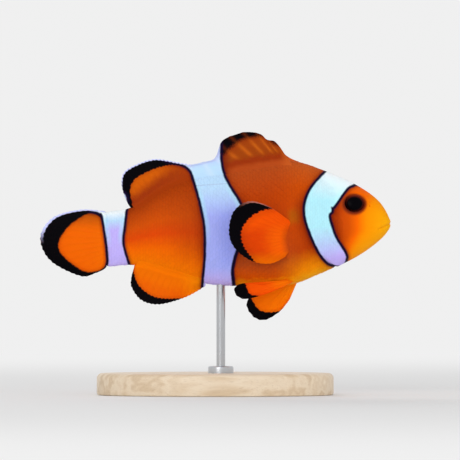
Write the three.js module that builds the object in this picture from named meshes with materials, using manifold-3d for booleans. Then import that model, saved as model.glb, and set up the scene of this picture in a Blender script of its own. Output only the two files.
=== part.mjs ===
// A life-size display model of a clownfish (Amphiprion ocellaris) swimming above a plain oval stand.
// Millimetres, +Z up, nose towards +X, the fish's right side towards -Y.
// The origin is the centre of the stand's underside.
//
// The fish is described as a fish is measured: every station and height is in percent of its total length.
// A station runs from 0 at the tip of the snout to 100 at the end of the tail fin, and a height is counted
// from the level of the snout's tip.
import * as THREE from "three";
import { mergeVertices } from "three/addons/utils/BufferGeometryUtils.js";
import Module from "manifold-3d";

const wasm = await Module();
wasm.setup();

// ---------------------------------------------------------------- driving dimensions

const TOTAL_LENGTH = 80;
const SNOUT_X = TOTAL_LENGTH / 2;
const SNOUT_Z = 39;
const CUT = 0.3; // the thin cut between neighbouring pieces, in millimetres
const PERCENT = TOTAL_LENGTH / 100;

// The body's outline without its fins: the back, the belly, the half width and the widest level.
const BACK = [
  [0, 0], [0.7, 2.4], [3.6, 6.7], [10.4, 11.4], [20.7, 16.0], [28, 18.0], [34.4, 17.7],
  [45.8, 15.7], [57.2, 13.8], [65.8, 10.1], [73.8, 4.8], [80.6, 3.5],
];
const BELLY = [
  [0, 0], [0.7, -2.1], [3.6, -5.2], [10.4, -9.9], [20.7, -14.7], [28, -17.4], [36, -18.0],
  [51.5, -17.4], [62.9, -14.4], [72, -12.0], [80.6, -12.4],
];
const HALF_WIDTH = [
  [0, 0], [0.7, 1.8], [3.6, 4.2], [10.4, 6.5], [20, 7.7], [29, 7.9], [43, 7.1], [57, 5.4],
  [70, 3.5], [80.6, 2.0],
];
const WIDEST_LEVEL = [[0, 0], [20, -1.0], [50, -2.2], [80.6, -4.6]];
const BACK_SHARPNESS = 1.2; // above 1 the section runs up to a ridge, below 1 it is boxy
const BELLY_SHARPNESS = 0.95;
const BODY_END = 80.6; // where the scaled tail stem meets the tail fin
const TAIL_STEM_START = 73.6;

// The gill opening is an arc about this centre, and the gill cover is a band inside it.
const GILL = { station: 8.0, height: 2.5, radius: 16.4, band: 5.6, above: 26, below: 60, depth: 3.2 };

// The mouth runs straight from the tip of the snout to its corner. The upper lip ends at "lip" on the snout
// and is "rim" deep at the corner; the lower jaw ends at "chin".
const MOUTH = { corner: [3.7, -1.8], lip: [1.8, 2.6], rim: 1.2, chin: [6.8, -9.5] };

// The eye is a flattened ball; "sink" is the share of its depth that lies below the head's surface.
const EYE = { station: 10.3, height: 5.8, radius: 3.3, depth: 1.9, sink: 0.75 };

const RIM = 0.5; // thickness at a fin's free edge, in millimetres
const RAY_TAPER = 1.5; // how quickly a ray thins from its root to that edge
const SWAYS = 1.5; // how many waves run along a fin's edge, each "sway" millimetres high

// A fin is a fan of rays. Its root follows the body and its edge is a smooth curve; "lean" above 1 crowds
// the roots of the rays towards the front, so that they slope back. "taperedEnds" is the share of the root
// at each end over which its thickness has run out.
const SPINY_DORSAL = {
  root: [[27.4, 16.6], [34.4, 16.2], [45.8, 14.2], [57.0, 12.2]],
  edge: [
    [27.4, 18.5], [29.7, 19.4], [31.5, 21.8], [33.2, 23.7], [35.3, 24.1], [37.2, 25.7], [41.0, 26.4],
    [44.5, 25.6], [47.9, 24.0], [49.1, 21.8], [50.5, 19.0], [53.0, 17.7], [57.0, 16.8],
  ],
  lean: 2.2, rootThickness: 1.9, sway: 0.25,
};
const SOFT_DORSAL = {
  root: [[57.4, 12.1], [65.8, 8.4], [72.6, 4.2]],
  edge: [
    [57.4, 16.8], [61.0, 17.6], [66.9, 18.5], [71.5, 17.4], [75.9, 14.9], [76.8, 11.7], [76.0, 8.0],
    [74.8, 5.4],
  ],
  lean: 1.0, rootThickness: 1.8, sway: -0.35,
};
const ANAL = {
  root: [[52.6, -15.6], [62.9, -12.7], [72.4, -10.4]],
  edge: [
    [52.8, -17.9], [58.3, -21.0], [65.8, -23.1], [71.0, -22.0], [73.9, -18.3], [74.0, -15.5],
    [73.3, -12.9],
  ],
  lean: 1.15, rootThickness: 1.8, sway: 0.3,
};
const CAUDAL = {
  root: [[81.0, 3.0], [81.0, -4.6], [81.0, -12.3]],
  edge: [
    [81.6, 3.6], [88.6, 4.0], [96.5, 1.7], [100.0, -4.0], [97.1, -10.6], [88.6, -15.0], [84.0, -14.1],
    [81.6, -13.0],
  ],
  lean: 1.0, rootThickness: 3.0, sway: 0.5, taperedEnds: 0.06,
};
// The paired fins also stand away from the body: "out" is the root's distance from the middle plane in
// millimetres, "flare" how far the fin first spreads outwards for each millimetre of its rays, and "curl"
// how quickly it bends back.
const PECTORAL = {
  root: [[27.6, -0.2], [28.3, -3.6], [28.3, -7.0]],
  edge: [
    [29.6, 1.4], [35.1, 5.0], [40.6, 6.3], [44.9, 3.4], [46.2, -2.6], [44.4, -7.2], [39.6, -10.7],
    [34.4, -11.4], [30.2, -9.6],
  ],
  lean: 1.0, rootThickness: 1.3, sway: 0.25, out: 4.9, flare: 0.75, curl: 0.018,
};
const FOLDED_PELVIC = {
  root: [[29.6, -15.9], [28.6, -16.4], [27.7, -16.6]],
  edge: [
    [36.5, -17.5], [41.4, -16.9], [44.3, -17.9], [44.4, -20.0], [41.8, -21.5], [37.0, -20.5],
    [31.8, -18.6],
  ],
  lean: 1.0, rootThickness: 1.1, sway: 0.15, out: 2.0, flare: 0.22, curl: 0,
};
const LOWERED_PELVIC = {
  root: [[29.8, -16.2], [28.4, -16.4], [26.8, -16.3]],
  edge: [
    [36.0, -19.6], [40.4, -21.4], [41.0, -24.0], [38.9, -26.9], [35.7, -27.6], [31.6, -25.2],
    [28.7, -21.8],
  ],
  lean: 1.0, rootThickness: 1.1, sway: 0.2, out: 1.6, flare: 0.2, curl: 0,
};

// The stand: an oval plinth, a collar and one rod up to the belly behind the pelvic fins.
const PLINTH = { length: 54, width: 34, height: 5, edge: 1.2, crown: 0.36, foot: 0.6 };
const COLLAR = { outer: 2.9, height: 1.6, bevel: 0.4 };
const ROD = { station: 48.4, radius: 1.0, depth: 2.4 };

// How finely each kind of surface is divided, and how far apart two corners may be and still be one.
const FACETS = { bodyRings: 38, bodyRound: 28, eyeRound: 16, eyeRings: 12, cut: 14, plinth: 44, rod: 20 };
const WELD = 1e-4;
const TURN_STEP = 0.01; // a small turn round the body, in radians, that gives a surface's direction
const BEYOND = 40; // a cutting outline's far corners, well outside the body in percent
const WIDE = 30; // half the depth of a prism that cuts right through, in millimetres

// ---------------------------------------------------------------- curves and solids

/** The places of a station and of a height, both in percent of the total length. */
const across = (station) => SNOUT_X - station * PERCENT;
const up = (height) => SNOUT_Z + height * PERCENT;

/** A smooth function through [place, value] knots: a cubic with each slope taken from the knots beside it. */
function through(knots) {
  const slope = knots.map((_, i) => {
    const [before, after] = [knots[Math.max(i - 1, 0)], knots[Math.min(i + 1, knots.length - 1)]];
    return (after[1] - before[1]) / (after[0] - before[0]);
  });
  return (place) => {
    let i = 0;
    while (i < knots.length - 2 && place > knots[i + 1][0]) i++;
    const [[x0, y0], [x1, y1]] = [knots[i], knots[i + 1]];
    const width = x1 - x0;
    const t = THREE.MathUtils.clamp((place - x0) / width, 0, 1);
    const rise = y1 - y0;
    const a = slope[i] * width - rise;
    const b = rise - slope[i + 1] * width;
    return y0 + t * rise + t * (1 - t) * (a * (1 - t) + b * t);
  };
}

/** The same against the square root of the station, which rounds the snout as a parabola. */
function throughFromSnout(knots) {
  const curve = through(knots.map(([station, value]) => [Math.sqrt(station), value]));
  return (station) => curve(Math.sqrt(station));
}

const backAt = throughFromSnout(BACK);
const bellyAt = throughFromSnout(BELLY);
const halfWidthAt = throughFromSnout(HALF_WIDTH);
const levelAt = through(WIDEST_LEVEL);

/** A point of the body's surface, grown outwards by some millimetres. The turn starts at the left side. */
function bodyPoint(station, turn, grown) {
  const level = levelAt(station);
  const rising = Math.sin(turn) >= 0;
  const reach = (rising ? backAt(station) - level : level - bellyAt(station)) * PERCENT + grown;
  const width = halfWidthAt(station) * PERCENT + grown;
  const sharpness = rising ? BACK_SHARPNESS : BELLY_SHARPNESS;
  const side = Math.sign(Math.cos(turn)) * Math.abs(Math.cos(turn)) ** sharpness;
  return [across(station), width * side, up(level) + reach * Math.sin(turn)];
}

/** A closed geometry as a manifold solid, turned the right way out. */
function solidFrom(geometry) {
  const bare = new THREE.BufferGeometry();
  bare.setAttribute("position", geometry.getAttribute("position"));
  if (geometry.index) bare.setIndex(geometry.index);
  const merged = mergeVertices(bare, WELD);
  const triVerts = new Uint32Array(merged.index.array);
  const mesh = (triangles) => new wasm.Mesh({
    numProp: 3, vertProperties: merged.attributes.position.array, triVerts: triangles,
  });
  const made = new wasm.Manifold(mesh(triVerts));
  if (made.volume() > 0) return made;
  return new wasm.Manifold(mesh(triVerts.reverse()));
}

/** A manifold solid as a geometry. */
function geometryOf(solid) {
  const { numProp, vertProperties, triVerts } = solid.getMesh();
  const geometry = new THREE.BufferGeometry();
  geometry.setAttribute("position", new THREE.BufferAttribute(new Float32Array(vertProperties), numProp));
  geometry.setIndex(new THREE.BufferAttribute(new Uint32Array(triVerts), 1));
  geometry.computeVertexNormals();
  return geometry;
}

/** Moves each vertex of a geometry to the place that the function gives for it. */
function reshape(geometry, placeOf) {
  const position = geometry.getAttribute("position");
  for (let i = 0; i < position.count; i++) {
    position.setXYZ(i, ...placeOf(position.getX(i), position.getY(i), position.getZ(i)));
  }
  return geometry;
}

/** The whole body without its fins: a reshaped sphere with its poles at the snout and the tail stem's end. */
function bodySolid(grown = 0) {
  const rings = FACETS.bodyRings;
  const lastRing = Math.cos(Math.PI * (1 - 1 / rings));
  const ball = new THREE.SphereGeometry(1, FACETS.bodyRound, rings);
  return solidFrom(reshape(ball, (x, y, z) => {
    const share = (1 - y) / (1 - lastRing);
    if (share > 1 + WELD) return [across(BODY_END) - grown, 0, up(levelAt(BODY_END))];
    if (share < WELD) return [SNOUT_X + grown, 0, SNOUT_Z];
    const station = Math.min(share, 1) * BODY_END;
    const point = bodyPoint(station, Math.atan2(z, -x), grown);
    point[0] += grown * THREE.MathUtils.lerp(1, -1, share);
    return point;
  }));
}

/** A prism between two distances from the middle plane, from a shape drawn in stations and heights. */
function prism(shape, near, far) {
  const slab = new THREE.ExtrudeGeometry(shape, {
    depth: far - near, bevelEnabled: false, curveSegments: FACETS.cut,
  });
  return solidFrom(reshape(slab, (station, height, depth) => [across(station), near + depth, up(height)]));
}

/** [station, height] pairs as vectors, and a straight-sided shape with its corners there. */
const vectors = (points) => points.map(([station, height]) => new THREE.Vector2(station, height));
const outline = (points) => new THREE.Shape(vectors(points));

/** The disc in front of the gill opening. */
function gillDisc(radius) {
  const shape = new THREE.Shape();
  shape.absarc(GILL.station, GILL.height, radius, 0, 2 * Math.PI);
  return prism(shape, -WIDE, WIDE);
}

/** The band of one gill cover, grown on every side by a share of the total length. */
function gillBand(side, grown) {
  const [low, high] = [-GILL.below, GILL.above].map(THREE.MathUtils.degToRad);
  const extra = grown / GILL.radius;
  const shape = new THREE.Shape();
  shape.absarc(GILL.station, GILL.height, GILL.radius + grown, low - extra, high + extra, false);
  shape.absarc(GILL.station, GILL.height, GILL.radius - GILL.band - grown, high + extra, low - extra, true);
  const inner = GILL.depth - grown * PERCENT;
  return side < 0 ? prism(shape, -WIDE, -inner) : prism(shape, inner, WIDE);
}

/** The region of the lower jaw, below the mouth and in front of the chin. */
function jawRegion(grown) {
  const [station, height] = MOUTH.corner;
  const [chin, chinHeight] = MOUTH.chin;
  return prism(outline([
    [-station, grown - height], [station + grown, height + grown], [chin + grown, chinHeight],
    [chin + grown, -BEYOND], [-station, -BEYOND],
  ]), -WIDE, WIDE);
}

/** The region of the upper lip, a band above the mouth. */
function lipRegion(grown) {
  const [station, height] = MOUTH.corner;
  const [lip, lipHeight] = MOUTH.lip;
  return prism(outline([
    [-station, -height], [station + grown, height], [station + grown, height + MOUTH.rim],
    [lip + grown, lipHeight + grown], [-station, lipHeight + grown + lip],
  ]), -WIDE, WIDE);
}

/** One eye: a flattened ball that faces along the head's surface normal. */
function eyeSolid(side, grown = 0) {
  const level = levelAt(EYE.station);
  const turn = Math.asin((EYE.height - level) / (backAt(EYE.station) - level));
  const at = new THREE.Vector3(...bodyPoint(EYE.station, turn, 0));
  const forward = new THREE.Vector3(...bodyPoint(EYE.station - 1, turn, 0)).sub(at);
  const upward = new THREE.Vector3(...bodyPoint(EYE.station, turn + TURN_STEP, 0)).sub(at);
  const normal = upward.cross(forward).normalize();
  const centre = at.addScaledVector(normal, -EYE.sink * EYE.depth * PERCENT);
  const ball = new THREE.SphereGeometry(1, FACETS.eyeRound, FACETS.eyeRings);
  const [radius, depth] = [EYE.radius * PERCENT + grown, EYE.depth * PERCENT + grown];
  ball.scale(radius, radius, depth);
  ball.applyQuaternion(new THREE.Quaternion().setFromUnitVectors(new THREE.Vector3(0, 0, 1), normal));
  ball.translate(centre.x, centre.y, centre.z);
  if (side < 0) ball.scale(1, -1, 1);
  return solidFrom(ball);
}

/** A smooth curve through [station, height] knots. */
const finCurve = (knots) => new THREE.SplineCurve(vectors(knots));

/** How far a fin's surface stands from the middle plane at a place u along it and v out along a ray. */
function finOffset(fin, side, u, v, rayLength) {
  const wave = fin.sway * Math.sin(2 * Math.PI * SWAYS * u) * v * v;
  if (fin.out === undefined) return wave;
  const reach = rayLength * v;
  return side * (fin.out + (fin.flare - fin.curl * reach) * reach + wave);
}

/** The share of its full root thickness that a fin has at a place u along its root. */
function fullnessAt(fin, u) {
  if (!fin.taperedEnds) return 1;
  return Math.sin(Math.PI * THREE.MathUtils.clamp(u, fin.taperedEnds, 1 - fin.taperedEnds));
}

/** A fin as a closed thin solid, u along its root and v out along its rays. */
function finSolid(fin, side = 0, along = 15, outwards = 5) {
  const root = finCurve(fin.root);
  const edge = finCurve(fin.edge);
  const board = new THREE.BoxGeometry(1, 1, 1, along, 1, outwards);
  return solidFrom(reshape(board, (x, face, z) => {
    const [u, v] = [x + 0.5, z + 0.5];
    const from = root.getPointAt(u ** fin.lean);
    const to = edge.getPointAt(u);
    const at = from.clone().lerp(to, v);
    const rootThickness = fin.rootThickness * fullnessAt(fin, u);
    const thickness = RIM + Math.max(rootThickness - RIM, 0) * (1 - v) ** RAY_TAPER;
    const offset = finOffset(fin, side, u, v, from.distanceTo(to) * PERCENT);
    return [across(at.x), offset + face * thickness, up(at.y)];
  }));
}

/** A turned solid that is closed on its axis, stretched across to make it oval. */
function turned(profile, segments, stretch = 1) {
  const lathe = new THREE.LatheGeometry(profile.map(([r, z]) => new THREE.Vector2(r, z)), segments);
  return solidFrom(reshape(lathe, (x, height, z) => [x, z * stretch, height]));
}

// ---------------------------------------------------------------- the pieces

const skinMaterial = new THREE.MeshStandardMaterial({ color: 0xd9560c, roughness: 0.45 });
const finMaterial = new THREE.MeshStandardMaterial({ color: 0xe8680a, roughness: 0.5 });
const eyeMaterial = new THREE.MeshStandardMaterial({ color: 0x0a0708, roughness: 0.1 });
const mapleMaterial = new THREE.MeshStandardMaterial({ color: 0xdec8a8, roughness: 0.5 });
const steelMaterial = new THREE.MeshStandardMaterial({ color: 0xb8babc, roughness: 0.3, metalness: 1 });

const fish = new THREE.Group();
const stand = new THREE.Group();

function addTo(group, name, solid, material) {
  const mesh = new THREE.Mesh(geometryOf(solid), material);
  mesh.name = name;
  group.add(mesh);
}

const SIDES = [["right", -1], ["left", 1]];
const CUT_SHARE = CUT / PERCENT;

/** The rod's place, and the socket that it enters in the belly. */
function rodSolid(grown) {
  const top = up(bellyAt(ROD.station)) + ROD.depth + grown;
  const rod = turned([[0, 0], [ROD.radius + grown, 0], [ROD.radius + grown, top - PLINTH.height],
    [0, top - PLINTH.height]], FACETS.rod);
  return rod.translate([across(ROD.station), 0, PLINTH.height]);
}

function addFlesh() {
  const body = bodySolid();
  const front = body.intersect(gillDisc(GILL.radius));
  const rear = body.subtract(gillDisc(GILL.radius + CUT_SHARE));
  const past = BODY_END + BEYOND;
  const behind = (station) => prism(outline([
    [station, -BEYOND], [past, -BEYOND], [past, BEYOND], [station, BEYOND],
  ]), -WIDE, WIDE);

  let head = front;
  for (const [name, side] of SIDES) {
    addTo(fish, `gill_cover_${name}`, front.intersect(gillBand(side, 0)), skinMaterial);
    head = head.subtract(gillBand(side, CUT_SHARE)).subtract(eyeSolid(side, CUT));
    addTo(fish, `eye_${name}`, eyeSolid(side), eyeMaterial);
  }
  addTo(fish, "lower_jaw", front.intersect(jawRegion(-CUT_SHARE / 2)), skinMaterial);
  addTo(fish, "upper_lip", front.intersect(lipRegion(0)).subtract(jawRegion(CUT_SHARE / 2)), skinMaterial);
  addTo(fish, "head", head.subtract(jawRegion(CUT_SHARE / 2)).subtract(lipRegion(CUT_SHARE)), skinMaterial);

  const trunk = rear.subtract(behind(TAIL_STEM_START)).subtract(rodSolid(CUT));
  addTo(fish, "trunk", trunk, skinMaterial);
  addTo(fish, "tail_stem", rear.intersect(behind(TAIL_STEM_START + CUT_SHARE)), skinMaterial);
}

function addFins() {
  const clearance = bodySolid(CUT);
  const medianFins = [
    ["dorsal_fin_spiny", SPINY_DORSAL, 19], ["dorsal_fin_soft", SOFT_DORSAL, 15],
    ["anal_fin", ANAL, 15], ["caudal_fin", CAUDAL, 20],
  ];
  for (const [name, fin, along] of medianFins) {
    addTo(fish, name, finSolid(fin, 0, along).subtract(clearance), finMaterial);
  }
  for (const [name, side] of SIDES) {
    addTo(fish, `pectoral_fin_${name}`, finSolid(PECTORAL, side).subtract(clearance), finMaterial);
  }
  const folded = finSolid(FOLDED_PELVIC, -1, 12, 5).subtract(clearance);
  addTo(fish, "pelvic_fin_right", folded, finMaterial);
  const lowered = finSolid(LOWERED_PELVIC, 1, 12, 5).subtract(clearance);
  addTo(fish, "pelvic_fin_left", lowered, finMaterial);
}

function addStand() {
  const half = PLINTH.length / 2;
  const plinth = turned([
    [0, 0], [half - PLINTH.foot, 0], [half, PLINTH.foot], [half, PLINTH.height - PLINTH.edge],
    [half - PLINTH.crown, PLINTH.height - PLINTH.crown],
    [half - PLINTH.edge, PLINTH.height], [0, PLINTH.height],
  ], FACETS.plinth, PLINTH.width / PLINTH.length);
  addTo(stand, "stand_base", plinth, mapleMaterial);

  const bore = ROD.radius + CUT;
  const collar = turned([
    [bore, 0], [COLLAR.outer, 0], [COLLAR.outer, COLLAR.height - COLLAR.bevel],
    [COLLAR.outer - COLLAR.bevel, COLLAR.height], [bore, COLLAR.height], [bore, 0],
  ], FACETS.rod);
  addTo(stand, "stand_collar", collar.translate([across(ROD.station), 0, PLINTH.height]), steelMaterial);
  addTo(stand, "stand_rod", rodSolid(0), steelMaterial);
}

addFlesh();
addFins();
addStand();

const model = new THREE.Group();
model.add(fish, stand);
export default model;
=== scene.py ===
"""A swimming clownfish, life size, as a museum-type model on a plain display stand.

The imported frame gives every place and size. The fish is described as a fish is measured: a station runs
from 0 at the tip of the snout to 100 at the end of the tail fin, and a height is counted from the level of
the snout's tip, both in percent of the total length. Everything that is built is in metres.
"""

import logging
import math
from dataclasses import dataclass
from enum import Enum
from typing import Sequence

import bmesh
import bpy
import numpy as np
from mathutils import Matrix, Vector


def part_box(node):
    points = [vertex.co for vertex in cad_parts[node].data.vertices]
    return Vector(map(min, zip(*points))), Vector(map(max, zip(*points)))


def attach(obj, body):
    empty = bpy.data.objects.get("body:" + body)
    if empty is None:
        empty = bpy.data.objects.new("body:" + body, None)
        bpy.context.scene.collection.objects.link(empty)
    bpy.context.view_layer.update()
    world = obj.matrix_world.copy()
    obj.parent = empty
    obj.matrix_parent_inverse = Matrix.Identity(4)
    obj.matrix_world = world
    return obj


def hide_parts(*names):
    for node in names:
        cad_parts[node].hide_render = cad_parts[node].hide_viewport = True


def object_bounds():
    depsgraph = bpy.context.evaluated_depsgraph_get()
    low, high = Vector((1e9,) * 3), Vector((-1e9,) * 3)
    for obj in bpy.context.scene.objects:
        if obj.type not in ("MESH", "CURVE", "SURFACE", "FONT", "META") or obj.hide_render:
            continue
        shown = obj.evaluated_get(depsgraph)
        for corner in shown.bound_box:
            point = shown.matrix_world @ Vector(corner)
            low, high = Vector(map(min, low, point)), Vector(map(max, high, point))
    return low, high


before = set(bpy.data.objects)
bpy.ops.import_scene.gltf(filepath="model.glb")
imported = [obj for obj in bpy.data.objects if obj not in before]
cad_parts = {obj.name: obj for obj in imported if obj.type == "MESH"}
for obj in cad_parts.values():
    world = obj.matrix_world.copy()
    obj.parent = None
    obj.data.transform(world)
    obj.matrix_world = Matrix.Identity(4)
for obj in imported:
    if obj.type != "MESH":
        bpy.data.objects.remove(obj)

CAD_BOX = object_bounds()
LOG = logging.getLogger("clownfish")

Array = np.ndarray
Pairs = tuple[tuple[float, float], ...]
Colour = tuple[int, int, int]
Stops = tuple[tuple[float, Colour], ...]
Span = tuple[float, float]
Vector3 = tuple[float, float, float]

MM = 0.001
BODY = "root"
SEED = 20260
TINY = 1e-6  # what counts as no length at all
TURN_STEP = 0.01  # a small turn round the body, in radians, that gives a surface's direction


class Side(Enum):
    """A side of the fish, with the sign of Y there."""

    RIGHT = -1
    LEFT = 1

    @property
    def label(self) -> str:
        """The side's name as the pieces spell it."""
        return self.name.lower()


class Crest(Enum):
    """The line of the body that a fin stands on, with the sign of Z there."""

    BACK = 1
    BELLY = -1


# ------------------------------------------------------------------------------------------------ curves


def smoothstep(low: float, high: float, value: Array) -> Array:
    """Rises smoothly from 0 at low to 1 at high, which may lie below low for a fall."""
    share = np.clip((value - low) / (high - low), 0.0, 1.0)
    return share * share * (3.0 - 2.0 * share)


def band(value: Array, start: Span, end: Span) -> Array:
    """Rises smoothly from 0 to 1 over the start's span and falls back to 0 over the end's span."""
    return smoothstep(*start, value) * smoothstep(*end, value)


def bell(distance: Array, width: float) -> Array:
    """A bump of height 1 that dies away over about a width on both sides of distance 0."""
    return np.exp(-((distance / width) ** 2))


@dataclass(frozen=True)
class Ridge:
    """A rounded ridge, or a groove where its height is below 0, that runs beside a line."""

    offset: float
    width: float
    height: float

    def at(self, distance: Array) -> Array:
        """The ridge's height at each distance from the line."""
        return self.height * bell(distance - self.offset, self.width)


class Profile:
    """A smooth function through (place, value) knots, with each slope taken from the knots beside it."""

    def __init__(self, knots: Pairs, from_snout: bool = False) -> None:
        """Stores the knots.

        Args:
            knots: The (place, value) pairs, in rising order of place.
            from_snout: Whether the places are read as square roots, which rounds the snout.
        """
        self.from_snout = from_snout
        places, self.values = (np.array(column, float) for column in zip(*knots))
        self.places = np.sqrt(places) if from_snout else places
        before = np.maximum(np.arange(len(knots)) - 1, 0)
        after = np.minimum(np.arange(len(knots)) + 1, len(knots) - 1)
        self.slopes = (self.values[after] - self.values[before]) / (self.places[after] - self.places[before])

    def __call__(self, place: Array) -> Array:
        """Looks the function up.

        Args:
            place: The places.

        Returns:
            The value at each place.
        """
        place = np.sqrt(np.maximum(place, 0.0)) if self.from_snout else np.asarray(place, float)
        i = np.clip(np.searchsorted(self.places, place) - 1, 0, len(self.places) - 2)
        width = self.places[i + 1] - self.places[i]
        share = np.clip((place - self.places[i]) / width, 0.0, 1.0)
        rise = self.values[i + 1] - self.values[i]
        lead = self.slopes[i] * width - rise
        trail = rise - self.slopes[i + 1] * width
        return self.values[i] + share * rise + share * (1 - share) * (lead * (1 - share) + trail * share)


class Spline:
    """A smooth curve through points in the side view, read by its share of length."""

    SAMPLES = 400
    LOOP_SAMPLES = 800

    def __init__(self, knots: Pairs, closed: bool = False) -> None:
        """Samples the curve.

        Args:
            knots: The points that the curve passes through.
            closed: Whether it runs back to its first point.
        """
        points = np.array(knots, float)
        count = len(points) if closed else len(points) - 1
        share = np.linspace(0.0, count, (self.LOOP_SAMPLES if closed else self.SAMPLES) + 1)
        i = np.minimum(share.astype(int), count - 1)
        t = (share - i)[:, None]
        if closed:
            p0, p1, p2, p3 = (points[(i + step) % len(points)] for step in (-1, 0, 1, 2))
        else:
            p0, p1, p2, p3 = (points[np.clip(i + step, 0, len(points) - 1)] for step in (-1, 0, 1, 2))
        lead, trail = (p2 - p0) / 2, (p3 - p1) / 2
        self.points = ((2 * p1 - 2 * p2 + lead + trail) * t ** 3
                       + (3 * p2 - 3 * p1 - 2 * lead - trail) * t ** 2 + lead * t + p1)
        steps = np.linalg.norm(np.diff(self.points, axis=0), axis=1)
        self.shares = np.concatenate([[0.0], np.cumsum(steps)])
        self.shares /= self.shares[-1]

    def at(self, share: Array) -> Array:
        """The points at some shares of the curve's length, one row each."""
        return np.stack([np.interp(share, self.shares, column) for column in self.points.T], axis=-1)


class Patch:
    """A region of the side view with a smooth closed outline."""

    THINNING = 4  # how many samples of the curve make one straight piece of the outline

    def __init__(self, knots: Pairs) -> None:
        """Rounds the outline off between its points."""
        self.outline = Spline(knots, closed=True).points[::self.THINNING]

    def depth(self, places: Array) -> Array:
        """How far inside the region each place lies, in percent; below 0 outside.

        Args:
            places: (station, height) rows.

        Returns:
            The signed distance to the outline for each row.
        """
        nearest = np.full(len(places), np.inf)
        inside = np.zeros(len(places), bool)
        for start, end in zip(self.outline[:-1], self.outline[1:]):
            run = end - start
            offset = places - start
            share = np.clip((offset @ run) / max(float(run @ run), TINY ** 2), 0.0, 1.0)
            nearest = np.minimum(nearest, ((offset - share[:, None] * run) ** 2).sum(1))
            crosses = (start[1] > places[:, 1]) != (end[1] > places[:, 1])
            if run[1] != 0.0:
                meets = start[0] + run[0] * (places[:, 1] - start[1]) / run[1]
                inside ^= crosses & (places[:, 0] < meets)
        return np.where(inside, 1.0, -1.0) * np.sqrt(nearest)


# --------------------------------------------------------------------------------------------- the body


BACK_TOP = 18.0  # the height of the back's highest point, in percent


@dataclass(frozen=True)
class Ruler:
    """Turns stations and heights into the frame's metres."""

    nose: float
    level: float
    unit: float

    @classmethod
    def from_frame(cls) -> "Ruler":
        """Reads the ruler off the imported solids."""
        nose = max(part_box(node)[1].x for node in ("head", "upper_lip", "lower_jaw"))
        unit = (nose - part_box("caudal_fin")[0].x) / 100.0
        return cls(nose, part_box("trunk")[1].z - BACK_TOP * unit, unit)

    @property
    def millimetres(self) -> float:
        """How many millimetres one percent of the length is."""
        return self.unit / MM

    def x(self, station: Array) -> Array:
        """The place along the fish of a station."""
        return self.nose - station * self.unit

    def z(self, height: Array) -> Array:
        """The place above the floor of a height."""
        return self.level + height * self.unit

    def side_view(self, points: Array) -> Array:
        """(station, height) rows for points in the frame."""
        return np.stack([self.nose - points[:, 0], points[:, 2] - self.level], axis=-1) / self.unit


@dataclass(frozen=True)
class BodyForm:
    """The body without its fins: four curves and two sharpnesses give every section."""

    ruler: Ruler
    back: Profile = Profile((
        (0, 0), (0.7, 2.4), (3.6, 6.7), (10.4, 11.4), (20.7, 16.0), (28, BACK_TOP), (34.4, 17.7),
        (45.8, 15.7), (57.2, 13.8), (65.8, 10.1), (73.8, 4.8), (80.6, 3.5),
    ), from_snout=True)
    belly: Profile = Profile((
        (0, 0), (0.7, -2.1), (3.6, -5.2), (10.4, -9.9), (20.7, -14.7), (28, -17.4), (36, -18.0),
        (51.5, -17.4), (62.9, -14.4), (72, -12.0), (80.6, -12.4),
    ), from_snout=True)
    half_width: Profile = Profile((
        (0, 0), (0.7, 1.8), (3.6, 4.2), (10.4, 6.5), (20, 7.7), (29, 7.9), (43, 7.1), (57, 5.4),
        (70, 3.5), (80.6, 2.0),
    ), from_snout=True)
    widest_level: Profile = Profile(((0, 0), (20, -1.0), (50, -2.2), (80.6, -4.6)))
    back_sharpness: float = 1.2
    belly_sharpness: float = 0.95
    snout_reach: float = 1.0
    tail_start: float = 79.6
    tail_end: float = 84.8
    tail_roundness: float = 2.2
    tail_narrowing: float = 0.75

    def section(self, station: Array) -> tuple[Array, Array, Array, Array]:
        """The section at each station.

        Args:
            station: The stations.

        Returns:
            The widest level, the reach above and below it, and the half width, in percent.
        """
        level = self.widest_level(station)
        past = np.clip((station - self.tail_start) / (self.tail_end - self.tail_start), 0.0, 1.0)
        closing = np.sqrt(np.clip(1.0 - past ** self.tail_roundness, 0.0, 1.0))
        above = (self.back(station) - level) * closing
        below = (level - self.belly(station)) * closing
        width = self.half_width(station) * (1.0 - self.tail_narrowing * past) * np.sqrt(closing)
        return level, above, below, width

    def point(self, station: Array, turn: Array, lift: Array | float = 0.0) -> Array:
        """Points of the surface.

        Args:
            station: The stations.
            turn: The turns round the body in radians: 0 is the left side and a quarter turn the back.
            lift: How far outside the surface the points are, in metres.

        Returns:
            One row of x, y, z for each station.
        """
        level, above, below, width = self.section(station)
        rising = np.sin(turn) >= 0
        reach = np.where(rising, above, below) * self.ruler.unit + lift
        sharpness = np.where(rising, self.back_sharpness, self.belly_sharpness)
        across = np.sign(np.cos(turn)) * np.abs(np.cos(turn)) ** sharpness
        return np.stack([
            self.ruler.x(station) + lift * bell(station, self.snout_reach),
            (width * self.ruler.unit + lift) * across,
            self.ruler.z(level) + reach * np.sin(turn),
        ], axis=-1)

    def girth_at(self, places: Array) -> Array:
        """Measures the body across.

        Args:
            places: (station, height) rows.

        Returns:
            How far the surface lies from the middle plane at each row, in metres.
        """
        level, above, below, width = self.section(places[:, 0])
        share = (places[:, 1] - level) / np.where(places[:, 1] >= level, above, below)
        sharpness = np.where(share >= 0, self.back_sharpness, self.belly_sharpness)
        return width * self.ruler.unit * np.sqrt(np.clip(1.0 - share ** 2, 0.0, 1.0)) ** sharpness

    def outline(self, station: Array, crest: Crest) -> Array:
        """The height of the back or the belly at each station, in percent."""
        return self.back(station) if crest is Crest.BACK else self.belly(station)

    def rise(self, places: Array) -> Array:
        """How high each (station, height) row lies between the belly, 0, and the back, 1."""
        station = np.clip(places[:, 0], self.snout_reach / 2, self.tail_start)
        level, above, below, _ = self.section(station)
        return (places[:, 1] - level + below) / (above + below)


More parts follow.
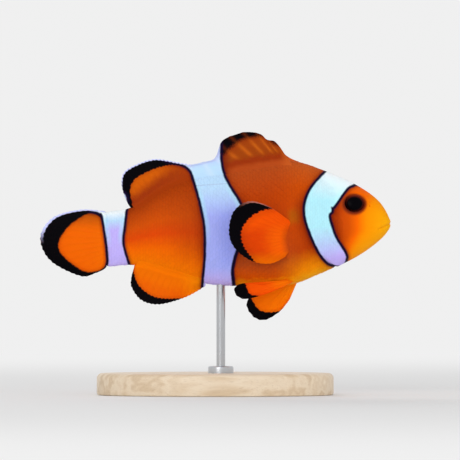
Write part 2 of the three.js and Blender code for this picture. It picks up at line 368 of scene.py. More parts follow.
@dataclass(frozen=True)
class Flap:
    """A rounded edge that stands up from in front of itself and drops into a groove behind."""

    radius: float
    height: float
    rise: Span
    drop: Span
    groove: Ridge

    def at(self, distance: Array) -> Array:
        """The height at each distance behind the edge."""
        return self.height * band(distance, self.rise, self.drop) + self.groove.at(distance)


@dataclass(frozen=True)
class HeadRelief:
    """What stands out of the head's form or is sunk into it. Places are in percent, depths in metres."""

    mouth_corner: tuple[float, float] = (3.5, -1.6)
    mouth_fade: Span = (4.9, 2.9)
    lips: tuple[Ridge, ...] = (Ridge(0.8, 0.55, 0.05 * MM), Ridge(-0.8, 0.6, 0.045 * MM))
    lip_folds: tuple[Ridge, ...] = (Ridge(1.9, 0.4, -0.025 * MM), Ridge(-2.0, 0.45, -0.025 * MM))
    mouth_slit: Ridge = Ridge(0.0, 0.26, -0.16 * MM)
    eye: tuple[float, float] = (10.25, 5.9)
    eye_stretch: float = 1.18
    iris_stretch: float = 1.2
    # How much more slowly the eye's colours fade backwards and downwards, where they paint a soft shadow
    # below the eye.
    iris_fade: float = 0.07
    orbit_rim: Ridge = Ridge(3.07, 0.5, 0.1 * MM)
    orbit_wall: Span = (2.62, 1.92)
    orbit_depth: float = 1.6 * MM
    nostril: tuple[float, float] = (5.9, 5.2)
    nostril_rings: tuple[Ridge, ...] = (Ridge(0.5, 0.25, 0.07 * MM), Ridge(0.0, 0.3, -0.28 * MM))
    gill_centre: tuple[float, float] = (8.0, 2.5)
    gill_angles: tuple[Span, Span] = ((-74.0, -58.0), (44.0, 26.0))
    gill: Flap = Flap(16.4, 0.22 * MM, (-7.0, -0.5), (0.25, -0.15), Ridge(0.35, 0.4, -0.176 * MM))
    cheek: Flap = Flap(11.4, 0.1 * MM, (-4.0, -0.3), (0.35, -0.2), Ridge(0.4, 0.4, -0.1 * MM))
    cheek_top: Span = (5.0, 0.0)
    # Painted shade in the head's creases: the stations where the mouth's shade fades out, and a ridge of
    # shade along the mouth, in the nostril and behind the gill cover.
    crease_shade_fade: Span = (4.1, 3.1)
    mouth_crease_shade: Ridge = Ridge(0.0, 0.22, 0.5)
    nostril_crease_shade: Ridge = Ridge(0.0, 0.3, 0.6)
    gill_crease_shade: Ridge = Ridge(0.3, 0.3, 0.7)

    def mouth_distance(self, places: Array) -> Array:
        """Measures from the line of the mouth.

        Args:
            places: (station, height) rows.

        Returns:
            The distance of each row in percent; above the line is positive.
        """
        station, height = places.T
        corner_station, corner_height = self.mouth_corner
        above = height - station * corner_height / corner_station
        beyond = np.maximum(station - corner_station, 0.0)
        return np.where(beyond > 0, np.hypot(beyond, height - corner_height), above)

    def eye_distance(self, places: Array) -> Array:
        """The distance of each (station, height) row from the middle of a slightly long orbit, in percent."""
        station, height = (places - self.eye).T
        return np.hypot(station / self.eye_stretch, height)

    def eye_shade(self, places: Array) -> Array:
        """Measures from the eye's centre for its colours, which fade more slowly backwards and downwards;
        below the eye this slower fade paints a soft shadow.

        Args:
            places: (station, height) rows.

        Returns:
            The distance of each row in percent.
        """
        station, height = (places - self.eye).T
        backwards = (station - 2.0 * height) / np.maximum(np.hypot(station, height), TINY)
        return np.hypot(station / self.iris_stretch, height) * (1.0 - self.iris_fade * backwards)

    def nostril_distance(self, places: Array) -> Array:
        """The distance of each (station, height) row from the nostril, in percent."""
        return np.hypot(*(places - self.nostril).T)

    def gill_distance(self, places: Array) -> tuple[Array, Array]:
        """Where each place lies from the gill opening.

        Args:
            places: (station, height) rows.

        Returns:
            The distance behind the edge of the gill cover, in percent, and the share of that edge's depth
            that there is at the place's own angle.
        """
        station, height = (places - self.gill_centre).T
        angle = np.degrees(np.arctan2(height, station))
        return np.hypot(station, height) - self.gill.radius, band(angle, *self.gill_angles)

    def lift(self, places: Array) -> Array:
        """The relief at each place.

        Args:
            places: (station, height) rows of points on the head.

        Returns:
            The height above the smooth form, in metres.
        """
        from_mouth = self.mouth_distance(places)
        ridges = (*self.lips, *self.lip_folds, self.mouth_slit)
        mouth = sum(ridge.at(from_mouth) for ridge in ridges) * smoothstep(*self.mouth_fade, places[:, 0])
        from_eye = self.eye_distance(places)
        orbit = self.orbit_rim.at(from_eye) - self.orbit_depth * smoothstep(*self.orbit_wall, from_eye)
        nostril = sum(ring.at(self.nostril_distance(places)) for ring in self.nostril_rings)
        behind, there = self.gill_distance(places)
        cheek = self.cheek.at(behind + self.gill.radius - self.cheek.radius)
        cheek *= smoothstep(*self.cheek_top, places[:, 1])
        return mouth + orbit + nostril + (self.gill.at(behind) + cheek) * there

    def crease(self, places: Array) -> Array:
        """How deep in the head's creases each place lies, from 0 to 1, for the painted shade that darkens
        them.

        Args:
            places: (station, height) rows.

        Returns:
            The share of each row.
        """
        mouth = self.mouth_crease_shade.at(self.mouth_distance(places))
        mouth *= smoothstep(*self.crease_shade_fade, places[:, 0])
        nostril = self.nostril_crease_shade.at(self.nostril_distance(places))
        behind, there = self.gill_distance(places)
        return np.clip(mouth + nostril + self.gill_crease_shade.at(behind) * there, 0.0, 1.0)


@dataclass(frozen=True)
class Markings:
    """The three white bars, as regions of the side view, in percent."""

    head_bar: Patch = Patch((
        (8.6, 12.6), (10.5, 11.3), (12.1, 10.5), (13.6, 8.8), (16.3, 5.0), (17.1, 4.8), (17.0, 3.5),
        (17.8, 1.9), (16.0, -3.8), (13.2, -8.4), (12.9, -10.2), (14.2, -11.8), (18.2, -10.8),
        (21.7, -5.4), (24.4, 2.8), (23.0, 9.2), (18.1, 14.9), (14.0, 18.0),
    ))
    mid_bar: Patch = Patch((
        (49.0, 26.0), (48.6, 18.2), (47.6, 13.6), (45.6, 9.7), (43.1, 5.6), (41.6, 0.4), (42.9, -4.0),
        (45.5, -12.6), (45.4, -22.0), (52.9, -22.0), (52.6, -9.2), (52.7, -1.4), (53.9, 5.3),
        (56.2, 13.4), (57.4, 15.7), (59.8, 17.1), (64.4, 18.2), (66.0, 19.6), (62.0, 23.0), (53.0, 27.0),
    ))
    tail_bar: Patch = Patch((
        (75.6, 8.0), (75.9, 1.0), (76.5, -5.6), (74.6, -13.4), (76.0, -17.0), (82.0, -16.0),
        (80.4, -10.6), (81.9, 1.4), (83.2, 3.2), (86.0, 4.0), (85.0, 6.4), (80.0, 9.0),
    ))

    def white(self, places: Array) -> Array:
        """How far inside a white bar each (station, height) row lies, in percent; below 0 outside."""
        return np.max([bar.depth(places) for bar in (self.head_bar, self.mid_bar, self.tail_bar)], axis=0)


# ----------------------------------------------------------------------------------------------- shading


def linear(colour: Colour) -> tuple[float, float, float, float]:
    """A display colour, 0 to 255 a channel, as the linear colour that a shader takes."""
    channels = (c / 255.0 for c in colour)
    return (*(c / 12.92 if c <= 0.04045 else ((c + 0.055) / 1.055) ** 2.4 for c in channels), 1.0)


def grey(level: float) -> tuple[float, float, float, float]:
    """A linear grey as a shader takes it."""
    return (level, level, level, 1.0)


class Signal:
    """The output of a shader node, used as a number in Python expressions."""

    def __init__(self, graph: "Graph", socket: bpy.types.NodeSocket) -> None:
        """Wraps a socket of a graph."""
        self.graph = graph
        self.socket = socket

    def math(self, operation: str, *values: "Signal | float", clamp: bool = False) -> "Signal":
        """The output of a Math node with some values as its inputs, kept from 0 to 1 if clamped."""
        settings = {"operation": operation, "use_clamp": clamp}
        return self.graph.output(self.graph.node("ShaderNodeMath", settings, dict(enumerate(values))))

    def __add__(self, other: "Signal | float") -> "Signal":
        """self + other."""
        return self.math("ADD", self, other)

    def __radd__(self, other: float) -> "Signal":
        """other + self."""
        return self.math("ADD", other, self)

    def __sub__(self, other: "Signal | float") -> "Signal":
        """self - other."""
        return self.math("SUBTRACT", self, other)

    def __rsub__(self, other: float) -> "Signal":
        """other - self."""
        return self.math("SUBTRACT", other, self)

    def __mul__(self, other: "Signal | float") -> "Signal":
        """self * other."""
        return self.math("MULTIPLY", self, other)

    def __rmul__(self, other: float) -> "Signal":
        """other * self."""
        return self.math("MULTIPLY", other, self)

    def __truediv__(self, other: "Signal | float") -> "Signal":
        """self / other."""
        return self.math("DIVIDE", self, other)

    def __rtruediv__(self, other: float) -> "Signal":
        """other / self."""
        return self.math("DIVIDE", other, self)

    def __abs__(self) -> "Signal":
        """The signal without its sign."""
        return self.math("ABSOLUTE", self)

    def sine(self) -> "Signal":
        """The sine of a signal in radians."""
        return self.math("SINE", self)

    def clamped(self) -> "Signal":
        """The signal kept between 0 and 1."""
        return self.math("ADD", self, 0.0, clamp=True)

    def between(self, low: float, high: float) -> "Signal":
        """Rises smoothly from 0 at low to 1 at high, which may lie below low for a fall."""
        share = ((self - low) * (1.0 / (high - low))).clamped()
        return share * share * (3.0 - 2.0 * share)


class Graph:
    """A node tree, with one method that makes every node."""

    def __init__(self, owner: bpy.types.Material | bpy.types.World) -> None:
        """Empties the tree of a material or a world.

        Args:
            owner: The material or the world.
        """
        owner.use_nodes = True
        self.owner = owner
        self.tree = owner.node_tree
        self.tree.nodes.clear()

    @classmethod
    def for_material(cls, name: str) -> "Graph":
        """Starts a new material."""
        return cls(bpy.data.materials.new(name))

    def node(self, kind: str, settings: dict | None = None, inputs: dict | None = None) -> bpy.types.Node:
        """Makes a node.

        Args:
            kind: The node's type.
            settings: Properties that are set first; "stops" holds a ramp's (place, colour) pairs.
            inputs: Values or signals for its sockets, by name or number.

        Returns:
            The node.
        """
        made = self.tree.nodes.new(kind)
        for name, value in (settings or {}).items():
            if name == "stops":
                elements = made.color_ramp.elements
                while len(elements) < len(value):
                    elements.new(1.0)
                for element, (place, colour) in zip(elements, value):
                    element.position = place
                    element.color = linear(colour)
            else:
                setattr(made, name, value)
        for name, value in (inputs or {}).items():
            if isinstance(value, Signal):
                self.tree.links.new(value.socket, made.inputs[name])
            else:
                made.inputs[name].default_value = value
        return made

    def output(self, node: bpy.types.Node, name: str | int = 0) -> Signal:
        """One output of a node, by name or number."""
        return Signal(self, node.outputs[name])

    def marks(self, *marks: "Mark") -> list[Signal]:
        """The numbers that a piece's mesh carries under those marks."""
        nodes = (self.node("ShaderNodeAttribute", {"attribute_name": mark.value}) for mark in marks)
        return [self.output(node, "Fac") for node in nodes]

    def place(self) -> Signal:
        """The point's place in the frame."""
        return self.output(self.node("ShaderNodeTexCoord"), "Object")

    def ramp(self, value: Signal, stops: Stops) -> Signal:
        """A colour that runs through some stops as a value runs from 0 to 1."""
        return self.output(self.node("ShaderNodeValToRGB", {"stops": stops}, {"Fac": value}), "Color")

    def mix(
        self, share: Signal | float, first: Signal | Colour, second: Signal | Colour, blend: str = "MIX",
    ) -> Signal:
        """A colour between two.

        Args:
            share: The share of the second.
            first: The first colour.
            second: The second colour.
            blend: The way of mixing them.

        Returns:
            The mixed colour.
        """
        colours = [c if isinstance(c, Signal) else linear(c) for c in (first, second)]
        settings = {"data_type": "RGBA", "blend_type": blend}
        made = self.node("ShaderNodeMix", settings, {0: share, 6: colours[0], 7: colours[1]})
        return self.output(made, 2)

    def noise(self, size: float, detail: float = 2.0, stretch: Vector3 = (1, 1, 1)) -> Signal:
        """Soft noise from 0 to 1.

        Args:
            size: The size of its features in metres.
            detail: How many finer layers it has.
            stretch: How much longer its features are along X, Y and Z.

        Returns:
            The noise.
        """
        scale = tuple(1.0 / (size * s) for s in stretch)
        place = self.node("ShaderNodeVectorMath", {"operation": "MULTIPLY"}, {0: self.place(), 1: scale})
        inputs = {"Vector": self.output(place), "Scale": 1.0, "Detail": detail}
        return self.output(self.node("ShaderNodeTexNoise", None, inputs), "Fac")

    def bump(self, height: Signal, depth: float) -> Signal:
        """A normal tilted by a height that runs from 0 to 1 over a depth in metres."""
        made = self.node("ShaderNodeBump", None, {"Height": height, "Distance": depth, "Strength": 1.0})
        return self.output(made, "Normal")

    def surface(self, inputs: dict) -> bpy.types.Material:
        """Ends the material in a Principled shader with those inputs."""
        shader = self.output(self.node("ShaderNodeBsdfPrincipled", None, inputs))
        self.node("ShaderNodeOutputMaterial", None, {"Surface": shader})
        return self.owner


class Mark(Enum):
    """The numbers that the fish's meshes carry for their materials."""

    WHITE = "white"  # depth inside a white bar, in millimetres
    ORANGE = "orange"  # depth inside the orange of a fin, in millimetres
    EDGE = "edge"  # distance from a fin's free edge, in millimetres
    PALE = "pale"  # how pale that edge is
    RISE = "rise"  # 0 at the belly, 1 at the back
    STATION = "station"  # in percent
    CREASE = "crease"  # how deep in the head's creases, for their painted shade
    ORBIT = "orbit"  # distance from the eye's centre, in millimetres
    RAY = "ray"  # 1 on a fin ray, 0 between two
    REACH = "reach"  # 0 at a fin's root, 1 at its edge
    BASE = "base"  # distance from the body's outline or the fin's root, in millimetres
    TIP = "tip"  # 0 at a scale's root, 1 at its edge
    SIDE = "side"  # -1 to 1 across a scale
    TINT = "tint"  # a scale's own shade


BLACK: Colour = (3, 2, 5)
NAVY: Colour = (16, 6, 40)
BISTRE: Colour = (92, 36, 18)
MAROON: Colour = (74, 20, 14)
CHESTNUT: Colour = (138, 48, 14)
UMBER: Colour = (162, 57, 7)
RUST: Colour = (190, 65, 3)
COPPER: Colour = (211, 80, 3)
SIENNA: Colour = (182, 75, 26)
TAN: Colour = (198, 90, 32)
VERMILION: Colour = (226, 72, 3)
TANGERINE: Colour = (246, 103, 0)
OLIVE: Colour = (176, 98, 6)
MARIGOLD: Colour = (250, 121, 0)
AMBER: Colour = (252, 146, 2)
GOLD: Colour = (253, 174, 8)
LILAC: Colour = (197, 181, 255)
PERIWINKLE: Colour = (170, 180, 255)
CORNFLOWER: Colour = (138, 156, 255)
SKY: Colour = (190, 224, 254)
ICE: Colour = (184, 243, 255)
FROST: Colour = (244, 252, 255)


@dataclass(frozen=True)
class Spot:
    """The signals that say where on the fish a point of a material lies, each as its mark says."""

    station: Signal
    rise: Signal
    white: Signal

    @classmethod
    def on(cls, graph: Graph) -> "Spot":
        """Reads the marks that a material's mesh carries."""
        return cls(*graph.marks(Mark.STATION, Mark.RISE, Mark.WHITE))

    def moved(self, rise: Signal | float = 0.0, white: Signal | float = 0.0) -> "Spot":
        """The spot a little higher on the flank or deeper in a bar."""
        return Spot(self.station, self.rise + rise, self.white + white)

    def held(self) -> "Spot":
        """The spot kept between the belly and the back."""
        return Spot(self.station, self.rise.clamped(), self.white)


@dataclass(frozen=True)
class Region:
    """A soft-edged part of the fish. Each span runs from the value where it ends to one well inside it."""

    share: float
    stations: tuple[Span, ...] = ()
    rises: tuple[Span, ...] = ()

    def at(self, spot: Spot) -> Signal:
        """How much of the region there is at a spot.

        Args:
            spot: The spot.

        Returns:
            From 0 outside to the region's share well inside.
        """
        share = self.share
        for mark, spans in ((spot.station, self.stations), (spot.rise, self.rises)):
            for span in spans:
                share = mark.between(*span) * share
        return share


@dataclass(frozen=True)
class Tint:
    """A colour that is laid over another at up to some share."""

    share: float
    colour: Colour
    blend: str = "MIX"

    def over(self, colour: Signal | Colour, where: Signal) -> Signal:
        """Lays it over a colour where a signal says."""
        return where.graph.mix(where * self.share, colour, self.colour, self.blend)


@dataclass(frozen=True)
class Paint:
    """How painted resin takes the light: satin, and a little translucent."""

    roughness: float = 0.4
    roughness_swing: float = 0.12
    relief: float = 0.012 * MM
    specular: float = 0.03
    translucency: float = 0.06
    glow_radius: Vector3 = (1.0 * MM, 0.4 * MM, 0.2 * MM)

    def coat(self, colour: Signal, mottle: Signal, height: Signal) -> bpy.types.Material:
        """Ends a material in the paint.

        Args:
            colour: The paint's colour.
            mottle: Noise from 0 to 1 that its gloss follows.
            height: Its fine relief, from 0 to 1.

        Returns:
            The material.
        """
        graph = colour.graph
        return graph.surface({
            "Base Color": colour, "Roughness": self.roughness + mottle * self.roughness_swing,
            "Normal": graph.bump(height, self.relief), "Specular IOR Level": self.specular,
            "Subsurface Weight": self.translucency, "Subsurface Radius": self.glow_radius,
            "Subsurface Scale": 1.0,
        })


@dataclass(frozen=True)
class EyeFinish:
    """A dark glass eye whose iris runs out into the skin round it. Distances are in millimetres."""

    reach: float = 3.0
    iris: Stops = ((0.46, BLACK), (0.57, MAROON), (0.72, CHESTNUT), (0.97, COPPER))
    thread_size: float = 0.16 * MM
    thread_contrast: float = 0.05

    def colour(self, orbit: Signal) -> Signal:
        """The colour at some distance from the eye's centre."""
        threads = (orbit.graph.noise(self.thread_size, 3.0) - 0.5) * self.thread_contrast
        return orbit.graph.ramp((orbit * (1.0 / self.reach) + threads).clamped(), self.iris)

    def build(self, name: str) -> bpy.types.Material:
        """Makes the eye's own material.

        Args:
            name: Its name.

        Returns:
            The material.
        """
        graph = Graph.for_material(name)
        return graph.surface({
            "Base Color": self.colour(*graph.marks(Mark.ORBIT)), "Roughness": 0.3,
            "Coat Weight": 0.015, "Coat Roughness": 0.12, "Specular IOR Level": 0.02,
        })


@dataclass(frozen=True)
class ScaleFinish:
    """What a scale adds to the painted skin: painted shade along its free edge, a painted highlight over its
    exposed middle, a tone of its own, and fine grooves.

    Rings and radii are each how fast they repeat and how high they stand. The focus is how far out the radii
    meet and how much they spread.
    """

    # Painted shade darkens each scale towards its free edge, and a painted highlight lightens its exposed
    # middle.
    edge: Tint = Tint(0.1, (150, 145, 150), "MULTIPLY")
    edge_shade_span: Span = (0.88, 1.0)
    crown: Tint = Tint(0.1, (255, 236, 210), "SOFT_LIGHT")
    crown_highlight_spans: tuple[Span, Span] = ((0.95, 0.75), (0.5, 0.8))
    shade: Tint = Tint(0.04, (185, 176, 182), "MULTIPLY")
    rings: tuple[float, float] = (60.0, 0.2)
    radii: tuple[float, float] = (22.0, 0.1)
    focus: tuple[float, float] = (1.2, 0.6)

    def colour(self, colour: Signal) -> Signal:
        """Lays the scales' painted edge shade, their painted highlight and their own tone over the skin's
        colour.

        Args:
            colour: The skin's colour.

        Returns:
            The scales' colour.
        """
        tip, tint = colour.graph.marks(Mark.TIP, Mark.TINT)
        # Where the crown's painted highlight lies, then the edge's painted shade, the highlight and each
        # scale's own tone.
        behind, before = (tip.between(*span) for span in self.crown_highlight_spans)
        colour = self.edge.over(colour, tip.between(*self.edge_shade_span))
        return self.shade.over(self.crown.over(colour, behind * before), tint + 1.0)

    def grooves(self, graph: Graph) -> Signal:
        """The rings and the radii that run over a scale.

        Args:
            graph: The material.

        Returns:
            Their height.
        """
        tip, side = graph.marks(Mark.TIP, Mark.SIDE)
        (rings, ring_height), (radii, radius_height), (focus, spread) = self.rings, self.radii, self.focus
        fanned = (side / (focus - tip * spread) * radii).sine()
        return (tip * rings).sine() * ring_height + fanned * radius_height


@dataclass(frozen=True)
class FleshFinish:
    """The painted skin and scales: orange that changes from nose to tail and from belly to back, and bars.

    Stops run from belly to back, those of the snout from its tip backwards. Depths in a bar are millimetres.
    """

    snout: Stops = ((0.06, GOLD), (0.35, AMBER), (0.48, TANGERINE), (0.6, COPPER), (0.76, RUST))
    # The top stops of the breast and the side, TAN and SIENNA, are paler and pinker: a painted sheen along
    # the top of the back.
    breast: Stops = ((0.0, GOLD), (0.08, AMBER), (0.26, RUST), (0.8, COPPER), (1.0, TAN))
    side: Stops = ((0.02, AMBER), (0.08, COPPER), (0.2, SIENNA), (0.45, RUST), (0.72, RUST), (0.95, SIENNA))
    rear: Stops = ((0.06, MARIGOLD), (0.28, TANGERINE), (0.45, VERMILION), (0.62, COPPER), (0.95, UMBER))
    tail: Stops = ((0.0, TANGERINE), (0.55, TANGERINE), (1.0, RUST))
    head_bar: Stops = ((0.12, LILAC), (0.45, ICE), (0.7, ICE), (0.98, FROST))
    mid_bar: Stops = ((0.03, LILAC), (0.16, PERIWINKLE), (0.6, PERIWINKLE), (0.85, SKY))
    tail_bar: Stops = ((0.65, LILAC), (0.82, SKY), (0.95, FROST))

    face_length: float = 20.0
    face_end: Span = (15.5, 19.0)
    forehead: Region = Region(0.14, ((11.0, 6.0),), ((0.55, 1.0),))
    chin: Region = Region(1.0, ((2.5, 9.0),), ((0.4, 0.0),))
    chin_warmth: float = 0.22
    chin_cut: float = 4.0
    breast_end: Span = (22.0, 34.0)
    side_end: Span = (45.0, 50.0)
    rear_end: Span = (78.0, 81.0)
    flank: Region = Region(0.4, ((66.0, 56.5), (50.0, 52.0)), ((0.02, 0.35), (1.1, 0.75)))
    shoulder: Region = Region(0.6, ((24.6, 26.8), (30.2, 28.0)), ((0.46, 0.53), (0.64, 0.57)))

    dusk: Tint = Tint(1.0, (142, 38, 3))
    dusk_reach: Span = (3.4, 0.4)
    dusk_run: Region = Region(1.0, ((9.0, 18.0), (70.0, 46.0)))
    dusk_middle: Region = Region(0.55, (), ((0.8, 0.6), (0.15, 0.35)))
    dusk_least: float = 0.3
    seam: Tint = Tint(0.5, (112, 30, 8))
    seam_reach: Span = (1.5, 0.5)

    bar_turns: tuple[Span, Span] = ((30.0, 34.0), (66.0, 70.0))
    # Painted shadow of the pectoral fin on the middle bar behind it, laid on as a bluer colour.
    pectoral_shadow: Region = Region(0.4, ((51.0, 46.0), (34.0, 38.0)), ((0.08, 0.25), (0.75, 0.5)))
    rim: Region = Region(0.4, (), ((0.3, 0.6), (0.95, 0.75)))
    rim_reach: Span = (1.3, 0.4)
    line_width: float = 0.56
    line_edges: tuple[Span, Span] = ((-0.3, 0.14), (-0.16, 0.2))
    broad_line: Region = Region(0.2, ((38.0, 41.0), (49.0, 47.0)), ((0.4, 0.15),))

    mottle_size: float = 1.6 * MM
    grain_size: float = 0.3 * MM
    drift: float = 0.07
    line_swing: float = 0.2
    line_speckle: float = 0.1
    grain: Tint = Tint(0.5, (250, 150, 40), "SOFT_LIGHT")
    bar_grain: Tint = Tint(0.35, (255, 255, 255), "SOFT_LIGHT")
    # Painted shade in the head's creases, over the orange and over the bars.
    crease: Tint = Tint(0.3, (130, 50, 4))
    bar_crease_shade: Tint = Tint(0.3, (90, 110, 150))
    eye_edge: Span = (2.75, 2.1)
    tail_edge: Span = (0.06, -0.06)
    lateral: Tint = Tint(0.3, (150, 160, 205))
    lateral_run: Region = Region(1.0, ((22.0, 26.0), (70.0, 66.0)))
    lateral_rise: tuple[float, float] = (0.8245, 0.0011)
    lateral_width: Span = (0.0065, 0.002)
    lateral_depth: float = 0.8

    def orange(self, spot: Spot) -> Signal:
        """The body's own colour at a spot, without its bars.

        Args:
            spot: The spot.

        Returns:
            The colour.
        """
        spot, graph = spot.held(), spot.rise.graph
        station = spot.station
        stops = (self.breast, self.side, self.rear, self.tail)
        body, side, rear, tail = (graph.ramp(spot.rise, run) for run in stops)
        body = graph.mix(station.between(*self.breast_end), body, side)
        body = graph.mix(station.between(*self.side_end), body, rear)
        body = graph.mix(self.flank.at(spot), body, UMBER)
        body = graph.mix(self.shoulder.at(spot), body, OLIVE)
        body = graph.mix(station.between(*self.rear_end), body, tail)
        chin = self.chin.at(spot)
        backwards = station * (1.0 / self.face_length) + self.forehead.at(spot) - chin * self.chin_warmth
        face = graph.ramp(backwards.clamped(), self.snout)
        return graph.mix((station + chin * self.chin_cut).between(*self.face_end), face, body)

    def beside_bar(self, colour: Signal, spot: Spot) -> Signal:
        """Darkens the orange towards the bars, most on the middle of the flank.

        Args:
            colour: The orange.
            spot: The spot.

        Returns:
            The colour.
        """
        outside = 0.0 - spot.white
        near = outside.between(*self.dusk_reach) * self.dusk_run.at(spot)
        colour = self.dusk.over(colour, near * (self.dusk_middle.at(spot) + self.dusk_least))
        return self.seam.over(colour, outside.between(*self.seam_reach))

    def bars(self, spot: Spot) -> Signal:
        """The colour of the white bars at a spot, with a bluer rim and the pectoral fin's painted shadow.

        Args:
            spot: The spot.

        Returns:
            The colour.
        """
        spot, graph = spot.held(), spot.rise.graph
        stops = (self.head_bar, self.mid_bar, self.tail_bar)
        head, middle, tail = (graph.ramp(spot.rise, bar) for bar in stops)
        to_middle, to_tail = (spot.station.between(*turn) for turn in self.bar_turns)
        # The middle bar turns bluer where the pectoral fin's shadow is painted on it.
        bar = graph.mix(self.pectoral_shadow.at(spot), graph.mix(to_middle, head, middle), CORNFLOWER)
        bar = graph.mix(to_tail, bar, tail)
        return graph.mix(spot.white.between(*self.rim_reach) * self.rim.at(spot), bar, ICE)

    def edged(self, orange: Signal, bar: Signal, spot: Spot) -> Signal:
        """Lays the bars over the orange with their dark outline, broadest low on the middle bar's front.

        Args:
            orange: The colour outside.
            bar: The colour inside.
            spot: The spot.

        Returns:
            The colour.
        """
        graph, (outside, inside) = orange.graph, self.line_edges
        outer = spot.white + self.broad_line.at(spot) + self.line_width
        colour = graph.mix(outer.between(*outside), orange, NAVY)
        return graph.mix(spot.white.between(*inside), colour, bar)

    def lateral_line(self, spot: Spot) -> Signal:
        """How much of the line of pores along the flank there is, from 0 to 1."""
        start, slope = self.lateral_rise
        aside = abs(spot.rise - (spot.station * slope + start))
        return aside.between(*self.lateral_width) * self.lateral_run.at(spot)

    def build(self, name: str, scales: ScaleFinish | None = None) -> bpy.types.Material:
        """Makes the material.

        Args:
            name: Its name.
            scales: What the scales add to it, where it is theirs.

        Returns:
            The material.
        """
        graph = Graph.for_material(name)
        spot = Spot.on(graph)
        tail, crease, orbit = graph.marks(Mark.ORANGE, Mark.CREASE, Mark.ORBIT)
        mottle, grain = graph.noise(self.mottle_size, 3.0), graph.noise(self.grain_size, 2.0)
        swing, speckle = mottle - 0.5, grain - 0.5
        drift = swing * self.drift
        line = self.lateral_line(spot)

        orange = self.beside_bar(self.orange(spot.moved(rise=drift)), spot)
        # Grain, then the painted shade in the head's creases.
        orange = self.crease.over(self.grain.over(orange, speckle), crease)
        orange = graph.mix(orbit.between(*self.eye_edge), orange, EyeFinish().colour(orbit))
        orange = graph.mix(tail.between(*self.tail_edge), orange, BLACK)

        bar = self.lateral.over(self.bars(spot.moved(rise=drift * 0.5)), line)
        # The bars too take the painted shade in the creases, then a grain.
        bar = self.bar_grain.over(self.bar_crease_shade.over(bar, crease), speckle)
        ragged = spot.moved(white=swing * self.line_swing + speckle * self.line_speckle)
        colour = self.edged(orange, bar, ragged)

        height = grain * 0.5 - line * self.lateral_depth
        if scales:
            colour = scales.colour(colour)
            height = height + scales.grooves(graph)
        return Paint().coat(colour, mottle, height)


@dataclass(frozen=True)
class Accent:
    """A colour that a fin takes on as one of its marks runs from one value to another."""

    mark: Mark
    start: float
    full: float
    colour: Colour
    share: float = 1.0
    swing: float = 0.2

    def over(self, colour: Signal, swing: Signal) -> Signal:
        """Lays the accent over a colour.

        Args:
            colour: The colour.
            swing: Noise from -0.5 to 0.5 that its edge follows.

        Returns:
            The colour with the accent.
        """
        mark, = colour.graph.marks(self.mark)
        ragged = mark + swing * (self.swing * (self.full - self.start))
        return Tint(self.share, self.colour).over(colour, ragged.between(self.start, self.full))


